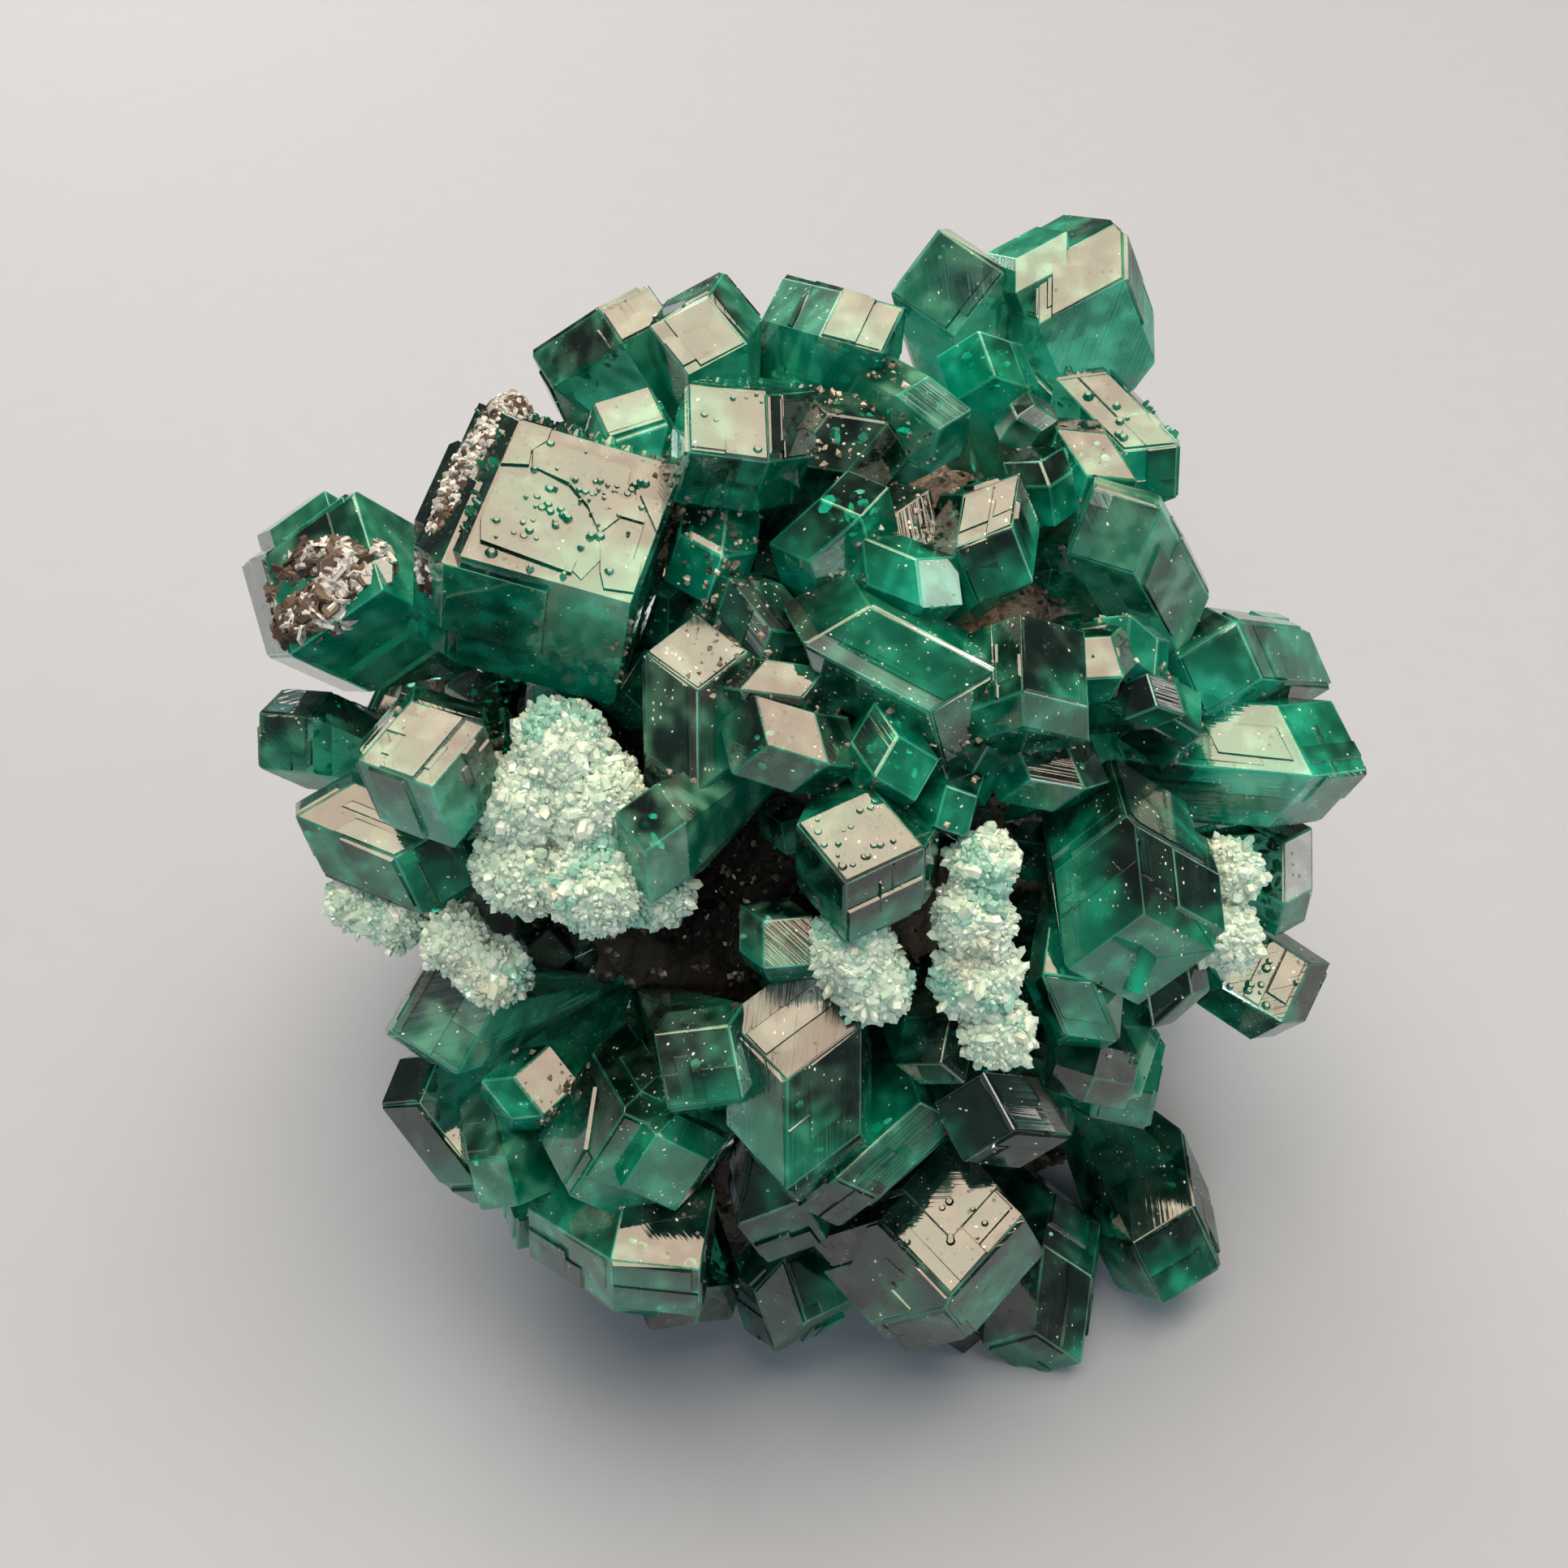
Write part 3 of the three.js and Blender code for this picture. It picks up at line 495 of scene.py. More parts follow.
class CrystalMesh:
    # gathers crystals, with how they look, into one mesh
    def __init__(self):
        self.bm = bmesh.new()
        self.uv = self.bm.loops.layers.uv.new("face")
        self.look = self.bm.loops.layers.float_color.new("look")
        self.tone = self.bm.loops.layers.float_color.new("tone")

    def dress(self, face, axis, look, mark, span=None):
        normal = np.array(face.normal)
        along = axis - normal * (axis @ normal)
        size = np.linalg.norm(along)
        if size < 0.1:
            start, end = face.edges[0].verts
            along = np.array(end.co - start.co)
        along /= np.linalg.norm(along)
        across = np.cross(normal, along)
        shift = mark[0] * 40
        for loop in face.loops:
            place = np.array(loop.vert.co)
            loop[self.uv].uv = (place @ along + shift, place @ across + shift * 0.7)
            loop[self.look] = look[:4]
            # painted light: the body is brighter towards the crystal's lower end and darker towards its top
            paintedGlow = 0 if span is None else habit["paintedGlow"] * (0.5 - (place[2] - span[0]) / (span[1] - span[0]))
            # painted shade: darker where the face turns upwards
            shade = habit["paintedTopShade"] * max(normal[2], 0) ** 2
            loop[self.tone] = (max(look[4] + paintedGlow - shade, 0.02), mark[0], mark[1], 1)

    def add(self, points, flats, root, axis, look, rng, bevel):
        part = CrystalMesh()
        verts = [part.bm.verts.new(p) for p in points]
        used = np.array([points[i][2] for ring, _, _ in flats for i in ring])
        span = (used.min(), used.max() + 0.01)
        flatFaces = []
        for ring, _, etch in flats:
            face = part.bm.faces.new([verts[i] for i in ring])
            face.normal_update()
            part.dress(face, axis, look, (rng.random(), etch), span)
            flatFaces.append(face)
        for ring in root:
            face = part.bm.faces.new([verts[i] for i in ring])
            face.normal_update()
            part.dress(face, axis, look, (rng.random(), 0))
        bm = part.bm
        if bevel:
            inside = set(flatFaces)
            edges = [e for e in bm.edges
                     if all(f in inside for f in e.link_faces) and e.calc_length() > 3 * bevel]
            edge = bmesh.ops.bevel(bm, geom=edges, offset=bevel, segments=2, profile=0.5, affect="EDGES",
                                   clamp_overlap=True)
            # painted highlight: the rounded edges get a brighter body colour and more hazy film with its
            # painted grey sheen
            paintedEdgeLook = (habit["edgeHazeAndSheen"], 0, 0, 0, min(look[4] + habit["paintedEdgeLight"], 1))
            for face in edge["faces"]:
                face.normal_update()
                part.dress(face, axis, paintedEdgeLook, (rng.random(), habit["edgeEtch"]))
        if min(v.co.z for v in bm.verts) < 0:
            everything = list(bm.verts) + list(bm.edges) + list(bm.faces)
            # what would reach below the floor is cut off flat
            cut = bmesh.ops.bisect_plane(bm, geom=everything, plane_co=(0, 0, 0), plane_no=(0, 0, -1),
                                         clear_outer=True)
            rim = [e for e in cut["geom_cut"] if isinstance(e, bmesh.types.BMEdge)]
            for face in bmesh.ops.holes_fill(bm, edges=rim, sides=0)["faces"]:
                face.normal_update()
                part.dress(face, axis, look, (rng.random(), 0))
        mesh = bpy.data.meshes.new("crystal")
        bm.to_mesh(mesh)
        bm.free()
        self.bm.from_mesh(mesh)
        bpy.data.meshes.remove(mesh)

    def finish(self, name, material):
        mesh = bpy.data.meshes.new(name)
        bmesh.ops.scale(self.bm, vec=(mm, mm, mm), verts=self.bm.verts)
        self.bm.to_mesh(mesh)
        self.bm.free()
        mesh.materials.append(material)
        piece = bpy.data.objects.new(name, mesh)
        bpy.context.scene.collection.objects.link(piece)
        return piece


plateSet = {
    "smallest": 1.1, "radius": 0.7,              # least face (square mm) and crystal (mm) with plates
    "count": (1, 4), "rise": (0.02, 0.07), "tilt": 0.02, "etch": (0.0, 0.35), "rim": 0.05, "deep": 0.5,
    "cut": (0.05, 0.60), "corner": 0.06, "lowest": 0.006,
}


def growthPlates(gather, points, ring, normal, axis, look, rng, count):
    # thin overlapping plates with the face's own edges
    corners = points[ring]
    middle = corners.mean(0)
    first = corners[1] - corners[0]
    first /= np.linalg.norm(first)
    second = np.cross(normal, first)
    flat = np.stack([(corners - middle) @ first, (corners - middle) @ second], 1)

    def cuts():
        # each edge of the face, moved inwards by a little or by much
        for i in range(len(flat)):
            a, b = flat[i - 1], flat[i]
            inward = np.array([-(b - a)[1], (b - a)[0]])
            inward /= np.linalg.norm(inward)
            depth = ((flat - a) @ inward).max()
            cut = depth * rng.choice([0.01, rng.uniform(*plateSet["cut"])])
            yield a + inward * cut, inward
    for _ in range(count):
        outline = clipInside(flat, cuts(), plateSet["corner"])
        if outline is None or len(outline) < 3:
            continue
        rise = rng.uniform(*plateSet["rise"])
        tilt = rng.uniform(-plateSet["tilt"], plateSet["tilt"], 2)
        heights = np.maximum(rise + (outline - outline.mean(0)) @ tilt, plateSet["lowest"])
        base = middle + outline[:, :1] * first + outline[:, 1:] * second
        raisedPlate(gather, base, normal, heights, plateSet["rim"], axis, look, rng)


broadTop = {
    # plates on the broad crystal's top, as seen in the photo (pixels), and the height of each (mm)
    "crystal": "broadLeft", "rim": 0.02, "tilt": 0.008, "upright": 0.8, "corner": 0.03,
    "plates": [
        (0.05, [(648, 508), (686, 514), (675, 545), (655, 558), (652, 575), (616, 573), (623, 552)]),
        (0.03, [(652, 575), (700, 600), (742, 648), (742, 690), (716, 716), (690, 690), (640, 600)]),
        (0.07, [(675, 545), (723, 557), (778, 577), (774, 600), (795, 630), (793, 648), (765, 640),
                (738, 660), (722, 625), (700, 598), (655, 577), (655, 556)]),
        (0.06, [(618, 578), (648, 591), (711, 693), (704, 709), (591, 668), (591, 640)]),
        (0.04, [(738, 652), (765, 636), (795, 644), (781, 690), (791, 693), (786, 733), (743, 727),
                (738, 706)]),
        (0.05, [(788, 611), (815, 618), (820, 630), (811, 662)]),
    ],
}


def onPlane(pixel, point, normal):
    # where the photo's ray through a pixel meets a flat face, mm
    tilt = math.radians(viewSet["pitch"])
    half = viewSet["frame"] / 2
    ahead = np.array((0, math.cos(tilt), -math.sin(tilt)))
    upright = np.array((0, math.sin(tilt), math.cos(tilt)))
    ray = ahead * viewSet["focal"] + np.array((1, 0, 0)) * (pixel[0] - half) - upright * (pixel[1] - half)
    eye = np.array(viewSet["place"])
    return eye + ray * ((point - eye) @ normal) / (ray @ normal)


def clipInside(shape, edges, corner):
    # keeps the part of a flat shape on the inner side of every edge (point, inward), and of
    # corners that nearly meet only one
    for start, inward in edges:
        kept = []
        for k in range(len(shape)):
            p, q = shape[k - 1], shape[k]
            hp, hq = (p - start) @ inward, (q - start) @ inward
            if hp * hq < 0:
                kept.append(p + (q - p) * hp / (hp - hq))
            if hq >= 0:
                kept.append(q)
        shape = kept
        if len(shape) < 3:
            return None
    shape = np.array(shape)
    return shape[np.linalg.norm(shape - np.roll(shape, 1, 0), axis=1) > corner]


def raisedPlate(gather, base, normal, heights, rim, axis, look, rng):
    # a thin plate on a face, with a sloping rim
    n = len(base)
    before = base - np.roll(base, 1, 0)
    after = np.roll(base, -1, 0) - base
    inward = np.cross(normal, before / np.linalg.norm(before, axis=1)[:, None])
    inward = inward + np.cross(normal, after / np.linalg.norm(after, axis=1)[:, None])
    inward /= np.maximum(np.linalg.norm(inward, axis=1), 0.3)[:, None]
    top = base + inward * rim + heights[:, None] * normal
    solid = np.concatenate([base - 0.02 * normal, top])
    sides = [(i, (i + 1) % n, n + (i + 1) % n, n + i) for i in range(n)]
    sides.append(tuple(range(n - 1, -1, -1)))
    deep = (*look[:4], look[4] * plateSet["deep"])
    gather.add(solid, [(list(range(n, 2 * n)), normal, 0)], sides, axis, deep, rng, 0)


def broadPlates(gather, corners, normal, axis, look, rng):
    edges = []
    for k in range(len(corners)):
        along = corners[k] - corners[k - 1]
        edges.append((corners[k], np.cross(normal, along / np.linalg.norm(along))))
    for rise, pixels in broadTop["plates"]:
        shape = [onPlane(pixel, corners[0], normal) for pixel in pixels]
        turned = np.cross(shape[1] - shape[0], shape[2] - shape[1]) @ normal
        shape = clipInside(shape if turned > 0 else shape[::-1], edges, broadTop["corner"])
        if shape is not None and len(shape) > 2:
            tilt = rng.uniform(-broadTop["tilt"], broadTop["tilt"], 3)
            heights = rise + (shape - shape.mean(0)) @ tilt
            raisedPlate(gather, shape, normal, heights, broadTop["rim"], axis, look, rng)


hillockSet = {
    "from": 0.5, "upright": 0.7,                 # least pits of a crystal, and turn upwards of a face
    "perArea": 8.0, "wide": (0.05, 0.14), "rise": (0.08, 0.14), "top": 0.42, "sides": 8,
}


def hillocks(gather, corners, normal, axis, look, rng):
    # low round hillocks with flat tops, which show as dark rings on a shining face
    s = hillockSet
    first = corners[1] - corners[0]
    first /= np.linalg.norm(first)
    second = np.cross(normal, first)
    n = s["sides"]
    turns = 2 * math.pi * np.arange(n)[:, None] / n
    ring = np.cos(turns) * first + np.sin(turns) * second
    walls = [(i, (i + 1) % n, n + (i + 1) % n, n + i) for i in range(n)]
    walls.append(tuple(range(n - 1, -1, -1)))
    for _ in range(int(faceArea(corners, normal) * s["perArea"] * look[3])):
        place = rng.dirichlet(np.full(len(corners), 0.8)) @ corners
        wide = rng.uniform(*s["wide"])
        top = place + ring * wide * s["top"] + normal * rng.uniform(*s["rise"])
        solid = np.concatenate([place + ring * wide - normal * 0.02, top])
        gather.add(solid, [(list(range(n, 2 * n)), normal, 0)], walls, axis, look, rng, 0)


convexBodies = []      # normals, reaches, corners, radius of every crystal
outerFaces = []        # corners, normal, crystal of every face turned outwards
etchedCrystals = {      # how dull the outer faces are
    "broadLeft": 0.25, "longSlab": 1.0, "speckledUpright": 1.0, "gapAbove": 0.9, "darkWedge": 0.8,
    "longPrism": 0.0, "upperPrism": 0.0, "blackGreen": 1.0, "behindSpur": 1.0, "hazyFaced": 0.6,
    "largeSpeckled": 0.5, "underTop": 0.8, "darkSmall": 0.9,
}
platedCrystals = {      # growth plates on each outer face
    "centreTop": 4, "slantPrism": 3, "pittedRhomb": 3, "largeBottom": 4, "bottomRight": 3, "singleBlock": 2,
    "shiningUnder": 3,
}


def faceArea(corners, normal):
    return 0.5 * abs(sum(np.cross(corners[k - 1] - corners[0], corners[k] - corners[0]) @ normal
                         for k in range(2, len(corners))))


def addCrystal(gather, name, row, heart, seed, look, rng):
    x, y, z, heading, rise, spin, radius, shaft = row
    draw = seededRandom(seed)
    at = np.array((x, y, z)) + placed
    heart = np.array(heart) + placed
    turn = turnMatrix(heading, rise, spin)
    normals, reaches = crystalPlanes(radius, shaft, draw)
    own = planeCorners(normals, reaches)
    points = own @ turn.T + at
    worldNormals = normals @ turn.T
    worldReaches = reaches + worldNormals @ at
    flats, root = bodyFaces(points, worldNormals, worldReaches, heart)
    axis = turn[:, 2]
    outwards = (at - heart) / np.linalg.norm(at - heart)
    plated = []
    for k, (ring, normal, _) in enumerate(flats):
        if normal @ outwards < habit["outward"]:
            continue
        outerFaces.append((points[ring], normal, len(convexBodies)))
        if radius >= plateSet["radius"] and faceArea(points[ring], normal) > plateSet["smallest"]:
            plated.append((ring, normal))
            etch = etchedCrystals.get(name, rng.uniform(*plateSet["etch"]))
            flats[k] = (ring, normal, etch)
    full = np.vstack([points, heart])
    bevel = habit["bevel"] if radius > habit["smallRadius"] else habit["smallBevel"]
    gather.add(full, flats, root, axis, look, rng, bevel)
    hullNormals = [n for _, n, _ in flats]
    hullReaches = [points[ring[0]] @ n for ring, n, _ in flats]
    for a, b, c in root:
        normal = np.cross(full[b] - full[a], full[c] - full[a])
        normal /= np.linalg.norm(normal)
        hullNormals.append(normal)
        hullReaches.append(full[a] @ normal)
    convexBodies.append((np.array(hullNormals), np.array(hullReaches), points, radius))
    for ring, normal in plated:
        if look[3] >= hillockSet["from"] and normal[2] > hillockSet["upright"]:
            hillocks(gather, points[ring], normal, axis, look, rng)
        if name == broadTop["crystal"] and normal[2] > broadTop["upright"]:
            broadPlates(gather, points[ring], normal, axis, look, rng)
            continue
        count = platedCrystals.get(name, int(rng.integers(*plateSet["count"])))
        growthPlates(gather, points, ring, normal, axis, look, rng, count)
    if radius < habit["stepMin"]:
        return
    outer = [k for k in range(12) if worldNormals[k] @ outwards > habit["stepOut"]]
    for _ in range(habit["steps"]):
        k = outer[int(draw() * len(outer))]
        stepRadius, stepShaft = radius * habit["stepSize"], shaft * habit["stepSize"]
        stepNormals, stepReaches = crystalPlanes(stepRadius, stepShaft, draw)
        slide = np.array([draw() - 0.5, draw() - 0.5, draw() - 0.5]) * habit["stepSlide"] * radius
        slide -= normals[k] * (slide @ normals[k])
        shift = slide + normals[k] * (reaches[k] + habit["stepRise"] - stepReaches[k])
        stepPoints = (planeCorners(stepNormals, stepReaches) + shift) @ turn.T + at
        turned = stepNormals @ turn.T
        stepFlats, _ = bodyFaces(stepPoints, turned, stepReaches + turned @ (turn @ shift + at))
        gather.add(stepPoints, stepFlats, [], axis, look, rng, habit["stepBevel"])


dioptaseSet = {
    "dark": (0.0002, 0.013, 0.009), "middle": (0.0003, 0.33, 0.195), "bright": (0.001, 0.62, 0.44),
    "glass": (0.36, 0.97, 0.86), "ior": 1.66, "gloss": 1.0,
    "absorb": (0.0, 0.80, 0.56), "density": 600.0,
    "cloud": (0.48, 0.36),                      # least cloudiness, and how much the veils add
    # the grey-green film colour is partly a real surface film and partly painted grey sheen
    "fleck": (0.82, 0.83, 0.76), "hazeAndSheen": (0.17, 0.42, 0.30),
}


def dioptaseMaterial():
    material, tree, output = newMaterial("dioptase")
    s = dioptaseSet
    place = addNode(tree, "ShaderNodeTexCoord", {}, {}).out("Object")
    uv = addNode(tree, "ShaderNodeUVMap", {"uv_map": "face"}, {})
    parts = addNode(tree, "ShaderNodeSeparateXYZ", {}, {0: uv})
    u, v = parts.out("X"), parts.out("Y")
    look = addNode(tree, "ShaderNodeAttribute", {"attribute_name": "look"}, {})
    looks = addNode(tree, "ShaderNodeSeparateColor", {}, {0: look})
    hazeAndSheen, dust, stripe, pits = looks.out("Red"), looks.out("Green"), looks.out("Blue"), look.out("Alpha")
    tone = addNode(tree, "ShaderNodeAttribute", {"attribute_name": "tone"}, {})
    tones = addNode(tree, "ShaderNodeSeparateColor", {}, {0: tone})
    bright, faceMark, etch = tones.out("Red"), tones.out("Green"), tones.out("Blue")

    # soft light and dark pools inside the crystal, with thin veils
    pool = addNode(tree, "ShaderNodeTexNoise", {}, {"Vector": place, "Scale": 420.0, "Detail": 0.0})
    veil = addNode(tree, "ShaderNodeTexNoise", {}, {
        "Vector": place, "Scale": 1700.0, "Detail": 1.0, "Roughness": 0.6})
    # the tone's brightness brings in painted light and shade: lower parts and rounded edges brighter,
    # upward faces and crystals in shade darker
    level = bright + (pool - 0.5) * 1.5 + (veil - 0.5) * 0.55
    low = level.over(0.0, 0.62).mix(s["dark"], s["middle"])
    body = level.over(0.5, 1.25).mix(low, s["bright"])
    cloudy = s["cloud"][0] + veil.over(0.44, 0.72) * s["cloud"][1]

    # stripes along the faces, growth pits, etched faces
    stripePlace = addNode(tree, "ShaderNodeCombineXYZ", {}, {0: u * 0.5, 1: v * 16.0 + faceMark * 90.0})
    stripes = addNode(tree, "ShaderNodeTexNoise", {"noise_dimensions": "2D"}, {
        "Vector": stripePlace, "Scale": 1.0, "Detail": 1.0, "Roughness": 0.7})
    pitPlace = addNode(tree, "ShaderNodeCombineXYZ", {}, {0: u * 4.5, 1: v * 4.5 + faceMark * 90.0})
    pit = addNode(tree, "ShaderNodeTexVoronoi", {"voronoi_dimensions": "2D"}, {
        "Vector": pitPlace, "Scale": 1.0, "Randomness": 1.0})
    pitPick = addNode(tree, "ShaderNodeSeparateColor", {}, {0: pit.out("Color")})
    pitWide = pitPick.out("Green") * 0.16 + 0.06
    pitHole = (pitWide - pit).over(0.0, 0.05) * (pitPick.out("Red") - (1 - pits * 0.5)).over(0.0, 0.03)
    height = stripes * (stripe * 0.55 + etch * 0.4)
    bump = addNode(tree, "ShaderNodeBump", {}, {"Strength": 0.5, "Distance": 0.00003, "Height": height})
    rough = hazeAndSheen * 0.16 + etch * 0.34 + stripes * stripe * 0.12 + pitHole * 0.3 + 0.03

    # white flecks, and a thin film of haze on the surface whose grey-green colour is partly painted sheen
    fleckPlace = addNode(tree, "ShaderNodeCombineXYZ", {}, {0: u * 8.0, 1: v * 13.0 + faceMark * 70.0})
    fleck = addNode(tree, "ShaderNodeTexVoronoi", {"voronoi_dimensions": "2D"}, {
        "Vector": fleckPlace, "Scale": 1.0, "Randomness": 1.0})
    fleckPick = addNode(tree, "ShaderNodeSeparateColor", {}, {0: fleck.out("Color")})
    fleckWide = fleckPick.out("Green") * fleckPick.out("Green") * 0.24 + 0.08
    fleckRare = 1 - dust * veil.over(0.34, 0.66) * 0.34
    flecks = (fleckWide - fleck).over(0.0, 0.05) * (fleckPick.out("Red") - fleckRare).over(0.0, 0.02)
    filmAndSheen = veil.over(0.36, 0.66) * hazeAndSheen
    colour = flecks.mix(filmAndSheen.mix(body, s["hazeAndSheen"]), s["fleck"])
    cloudFilmAndSheen = cloudy.maths("MAXIMUM", cloudy, filmAndSheen)
    cover = cloudy.maths("MAXIMUM", cloudFilmAndSheen, flecks)

    glass = addNode(tree, "ShaderNodeBsdfPrincipled", {}, {
        "Base Color": s["glass"], "Roughness": rough, "IOR": s["ior"],
        "Specular IOR Level": s["gloss"], "Transmission Weight": 1.0, "Normal": bump})
    clouded = addNode(tree, "ShaderNodeBsdfPrincipled", {}, {
        "Base Color": colour, "Roughness": rough + flecks * 0.3, "IOR": s["ior"],
        "Specular IOR Level": s["gloss"], "Normal": bump})
    shader = addNode(tree, "ShaderNodeMixShader", {}, {0: cover, 1: glass, 2: clouded})
    absorb = addNode(tree, "ShaderNodeVolumeAbsorption", {}, {
        "Color": s["absorb"], "Density": s["density"]})
    showShader(tree, shader, output)
    showShader(tree, absorb, output, "Volume")
    return material


dioptase = dioptaseMaterial()


def addCrystals():
    groups = dict(crystalGroups)
    for name, (facing, rises) in rearSet["groups"].items():
        groups[name] = [rearCluster(facing, rises)]
    for n, (name, clusters) in enumerate(groups.items()):
        gather = CrystalMesh()
        rng = np.random.default_rng(100 + n)
        for c, (heart, rows) in enumerate(clusters):
            for k, (crystal, row) in enumerate(rows.items()):
                look = crystalLooks.get(crystal, plainLook)
                addCrystal(gather, crystal, row, heart, 1000 * (n + 1) + 100 * c + k, look, rng)
        piece = gather.finish(name.replace("_", ".") + ".faces", dioptase)
        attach(piece, "root")
        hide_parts(name)


addCrystals()
print("crystals made:", len(convexBodies))

# small solids scattered over the specimen


def nodeMesh(name):
    # a solid's corners (mm) and triangles
    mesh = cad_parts[name].data
    mesh.calc_loop_triangles()
    points = np.array([v.co for v in mesh.vertices]) / mm
    return points, np.array([t.vertices for t in mesh.loop_triangles])


def samplePoints(points, triangles, count, rng):
    a, b, c = (points[triangles[:, k]] for k in range(3))
    across = np.cross(b - a, c - a)
    size = np.linalg.norm(across, axis=1)
    pick = rng.choice(len(triangles), count, p=size / size.sum())
    s, t = rng.random((2, count, 1))
    flip = s + t > 1
    s, t = np.where(flip, 1 - s, s), np.where(flip, 1 - t, t)
    places = a[pick] + s * (b - a)[pick] + t * (c - a)[pick]
    return places, (across / np.maximum(size, 1e-9)[:, None])[pick], pick


def depthIn(places, skip=None):
    # distance outside the nearest crystal, negative inside one
    nearest = np.full(len(places), 99.0)
    for n, (normals, reaches, _, _) in enumerate(convexBodies):
        out = (places @ normals.T - reaches).max(1)
        if skip is not None:
            out[skip == n] = 99.0
        nearest = np.minimum(nearest, out)
    return nearest


def standingFrames(normals, jitter, rng):
    # frames whose third axis stands about along the normals
    up = normals + rng.normal(0, jitter, normals.shape)
    up /= np.linalg.norm(up, axis=1)[:, None]
    side = np.cross(up, rng.normal(0, 1, normals.shape))
    side /= np.linalg.norm(side, axis=1)[:, None]
    return np.stack([side, np.cross(up, side), up], 2)


def pointShape(sides=6, foot=-0.4, shoulder=0.62, step=0.10):
    # a tiny crystal: a prism whose end is closed by uneven sloping faces
    ring = [(math.cos(2 * math.pi * k / sides), math.sin(2 * math.pi * k / sides)) for k in range(sides)]
    corners = [(x, y, foot) for x, y in ring]
    corners += [(x, y, shoulder + step * (-1) ** k) for k, (x, y) in enumerate(ring)]
    corners.append((0, 0, 1))
    faces = [(k, (k + 1) % sides, sides + (k + 1) % sides, sides + k) for k in range(sides)]
    faces += [(sides + k, sides + (k + 1) % sides, 2 * sides) for k in range(sides)]
    faces.append(tuple(range(sides - 1, -1, -1)))
    return np.array(corners), faces


def grainShape():
    # an angular grain
    corners = [(1, 0.1, 0), (0.2, 0.9, 0.25), (-0.9, 0.3, -0.1), (-0.1, -1, 0.1),
               (0.1, 0.1, 0.9), (0, 0, -0.8)]
    faces = [(0, 1, 4), (1, 2, 4), (2, 3, 4), (3, 0, 4), (1, 0, 5), (2, 1, 5), (3, 2, 5), (0, 3, 5)]
    return np.array(corners), faces


def flakeShape():
    # a thin six-cornered flake
    ring = [(1, 0.1), (0.45, 0.8), (-0.5, 0.9), (-0.95, 0), (-0.3, -0.85), (0.6, -0.75)]
    corners = [(x, y, -0.5) for x, y in ring] + [(x * 0.93, y * 0.93, 0.5) for x, y in ring]
    faces = [(k, (k + 1) % 6, 6 + (k + 1) % 6, 6 + k) for k in range(6)]
    faces += [tuple(range(6, 12)), tuple(range(5, -1, -1))]
    return np.array(corners), faces


class SolidMesh:
    # gathers many small solids, with a tint each, into one mesh
    def __init__(self):
        self.corners, self.faces, self.tints, self.count = [], [], [], 0

    def add(self, corners, faces, tints):
        self.corners.append(corners)
        self.faces += [tuple(i + self.count for i in face) for face in faces]
        self.tints.append(tints)
        self.count += len(corners)

    def scatter(self, shape, places, frames, sizes, tints):
        corners, faces = shape
        for place, turn, size, tint in zip(places, frames, sizes, tints):
            self.add((corners * size) @ turn.T + place, faces, np.tile(tint, (len(corners), 1)))

    def finish(self, name, material):
        mesh = bpy.data.meshes.new(name)
        corners = np.concatenate(self.corners) * mm
        corners[:, 2] = np.maximum(corners[:, 2], 0)
        mesh.from_pydata(corners.tolist(), [], self.faces)
        tint = mesh.attributes.new("tint", "FLOAT_COLOR", "POINT")
        colours = np.ones((len(corners), 4), np.float32)
        colours[:, :3] = np.concatenate(self.tints)
        tint.data.foreach_set("color", colours.ravel())
        mesh.materials.append(material)
        piece = bpy.data.objects.new(name, mesh)
        bpy.context.scene.collection.objects.link(piece)
        return piece


def mixTints(colours, shares, count, spread, rng):
    # a tint for each of many small solids, from a few colours
    shares = np.array(shares) / sum(shares)
    tints = np.array(colours)[rng.choice(len(colours), count, p=shares)]
    return np.clip(tints * rng.uniform(1 - spread, 1 + spread, (count, 1)), 0, 1)


def roundLump(middle, halves, rough, rng, detail=3):
    # an uneven rounded lump
    bm = bmesh.new()
    bmesh.ops.create_icosphere(bm, subdivisions=detail, radius=1)
    way = np.array([v.co for v in bm.verts])
    faces = [tuple(v.index for v in f.verts) for f in bm.faces]
    bm.free()
    waves = sum(np.sin(way @ rng.normal(0, 3.0, 3) + rng.uniform(0, 6)) for _ in range(5)) / 5
    return np.array(middle) + placed + way * np.array(halves) * (1 + rough * waves[:, None]), faces


# druse

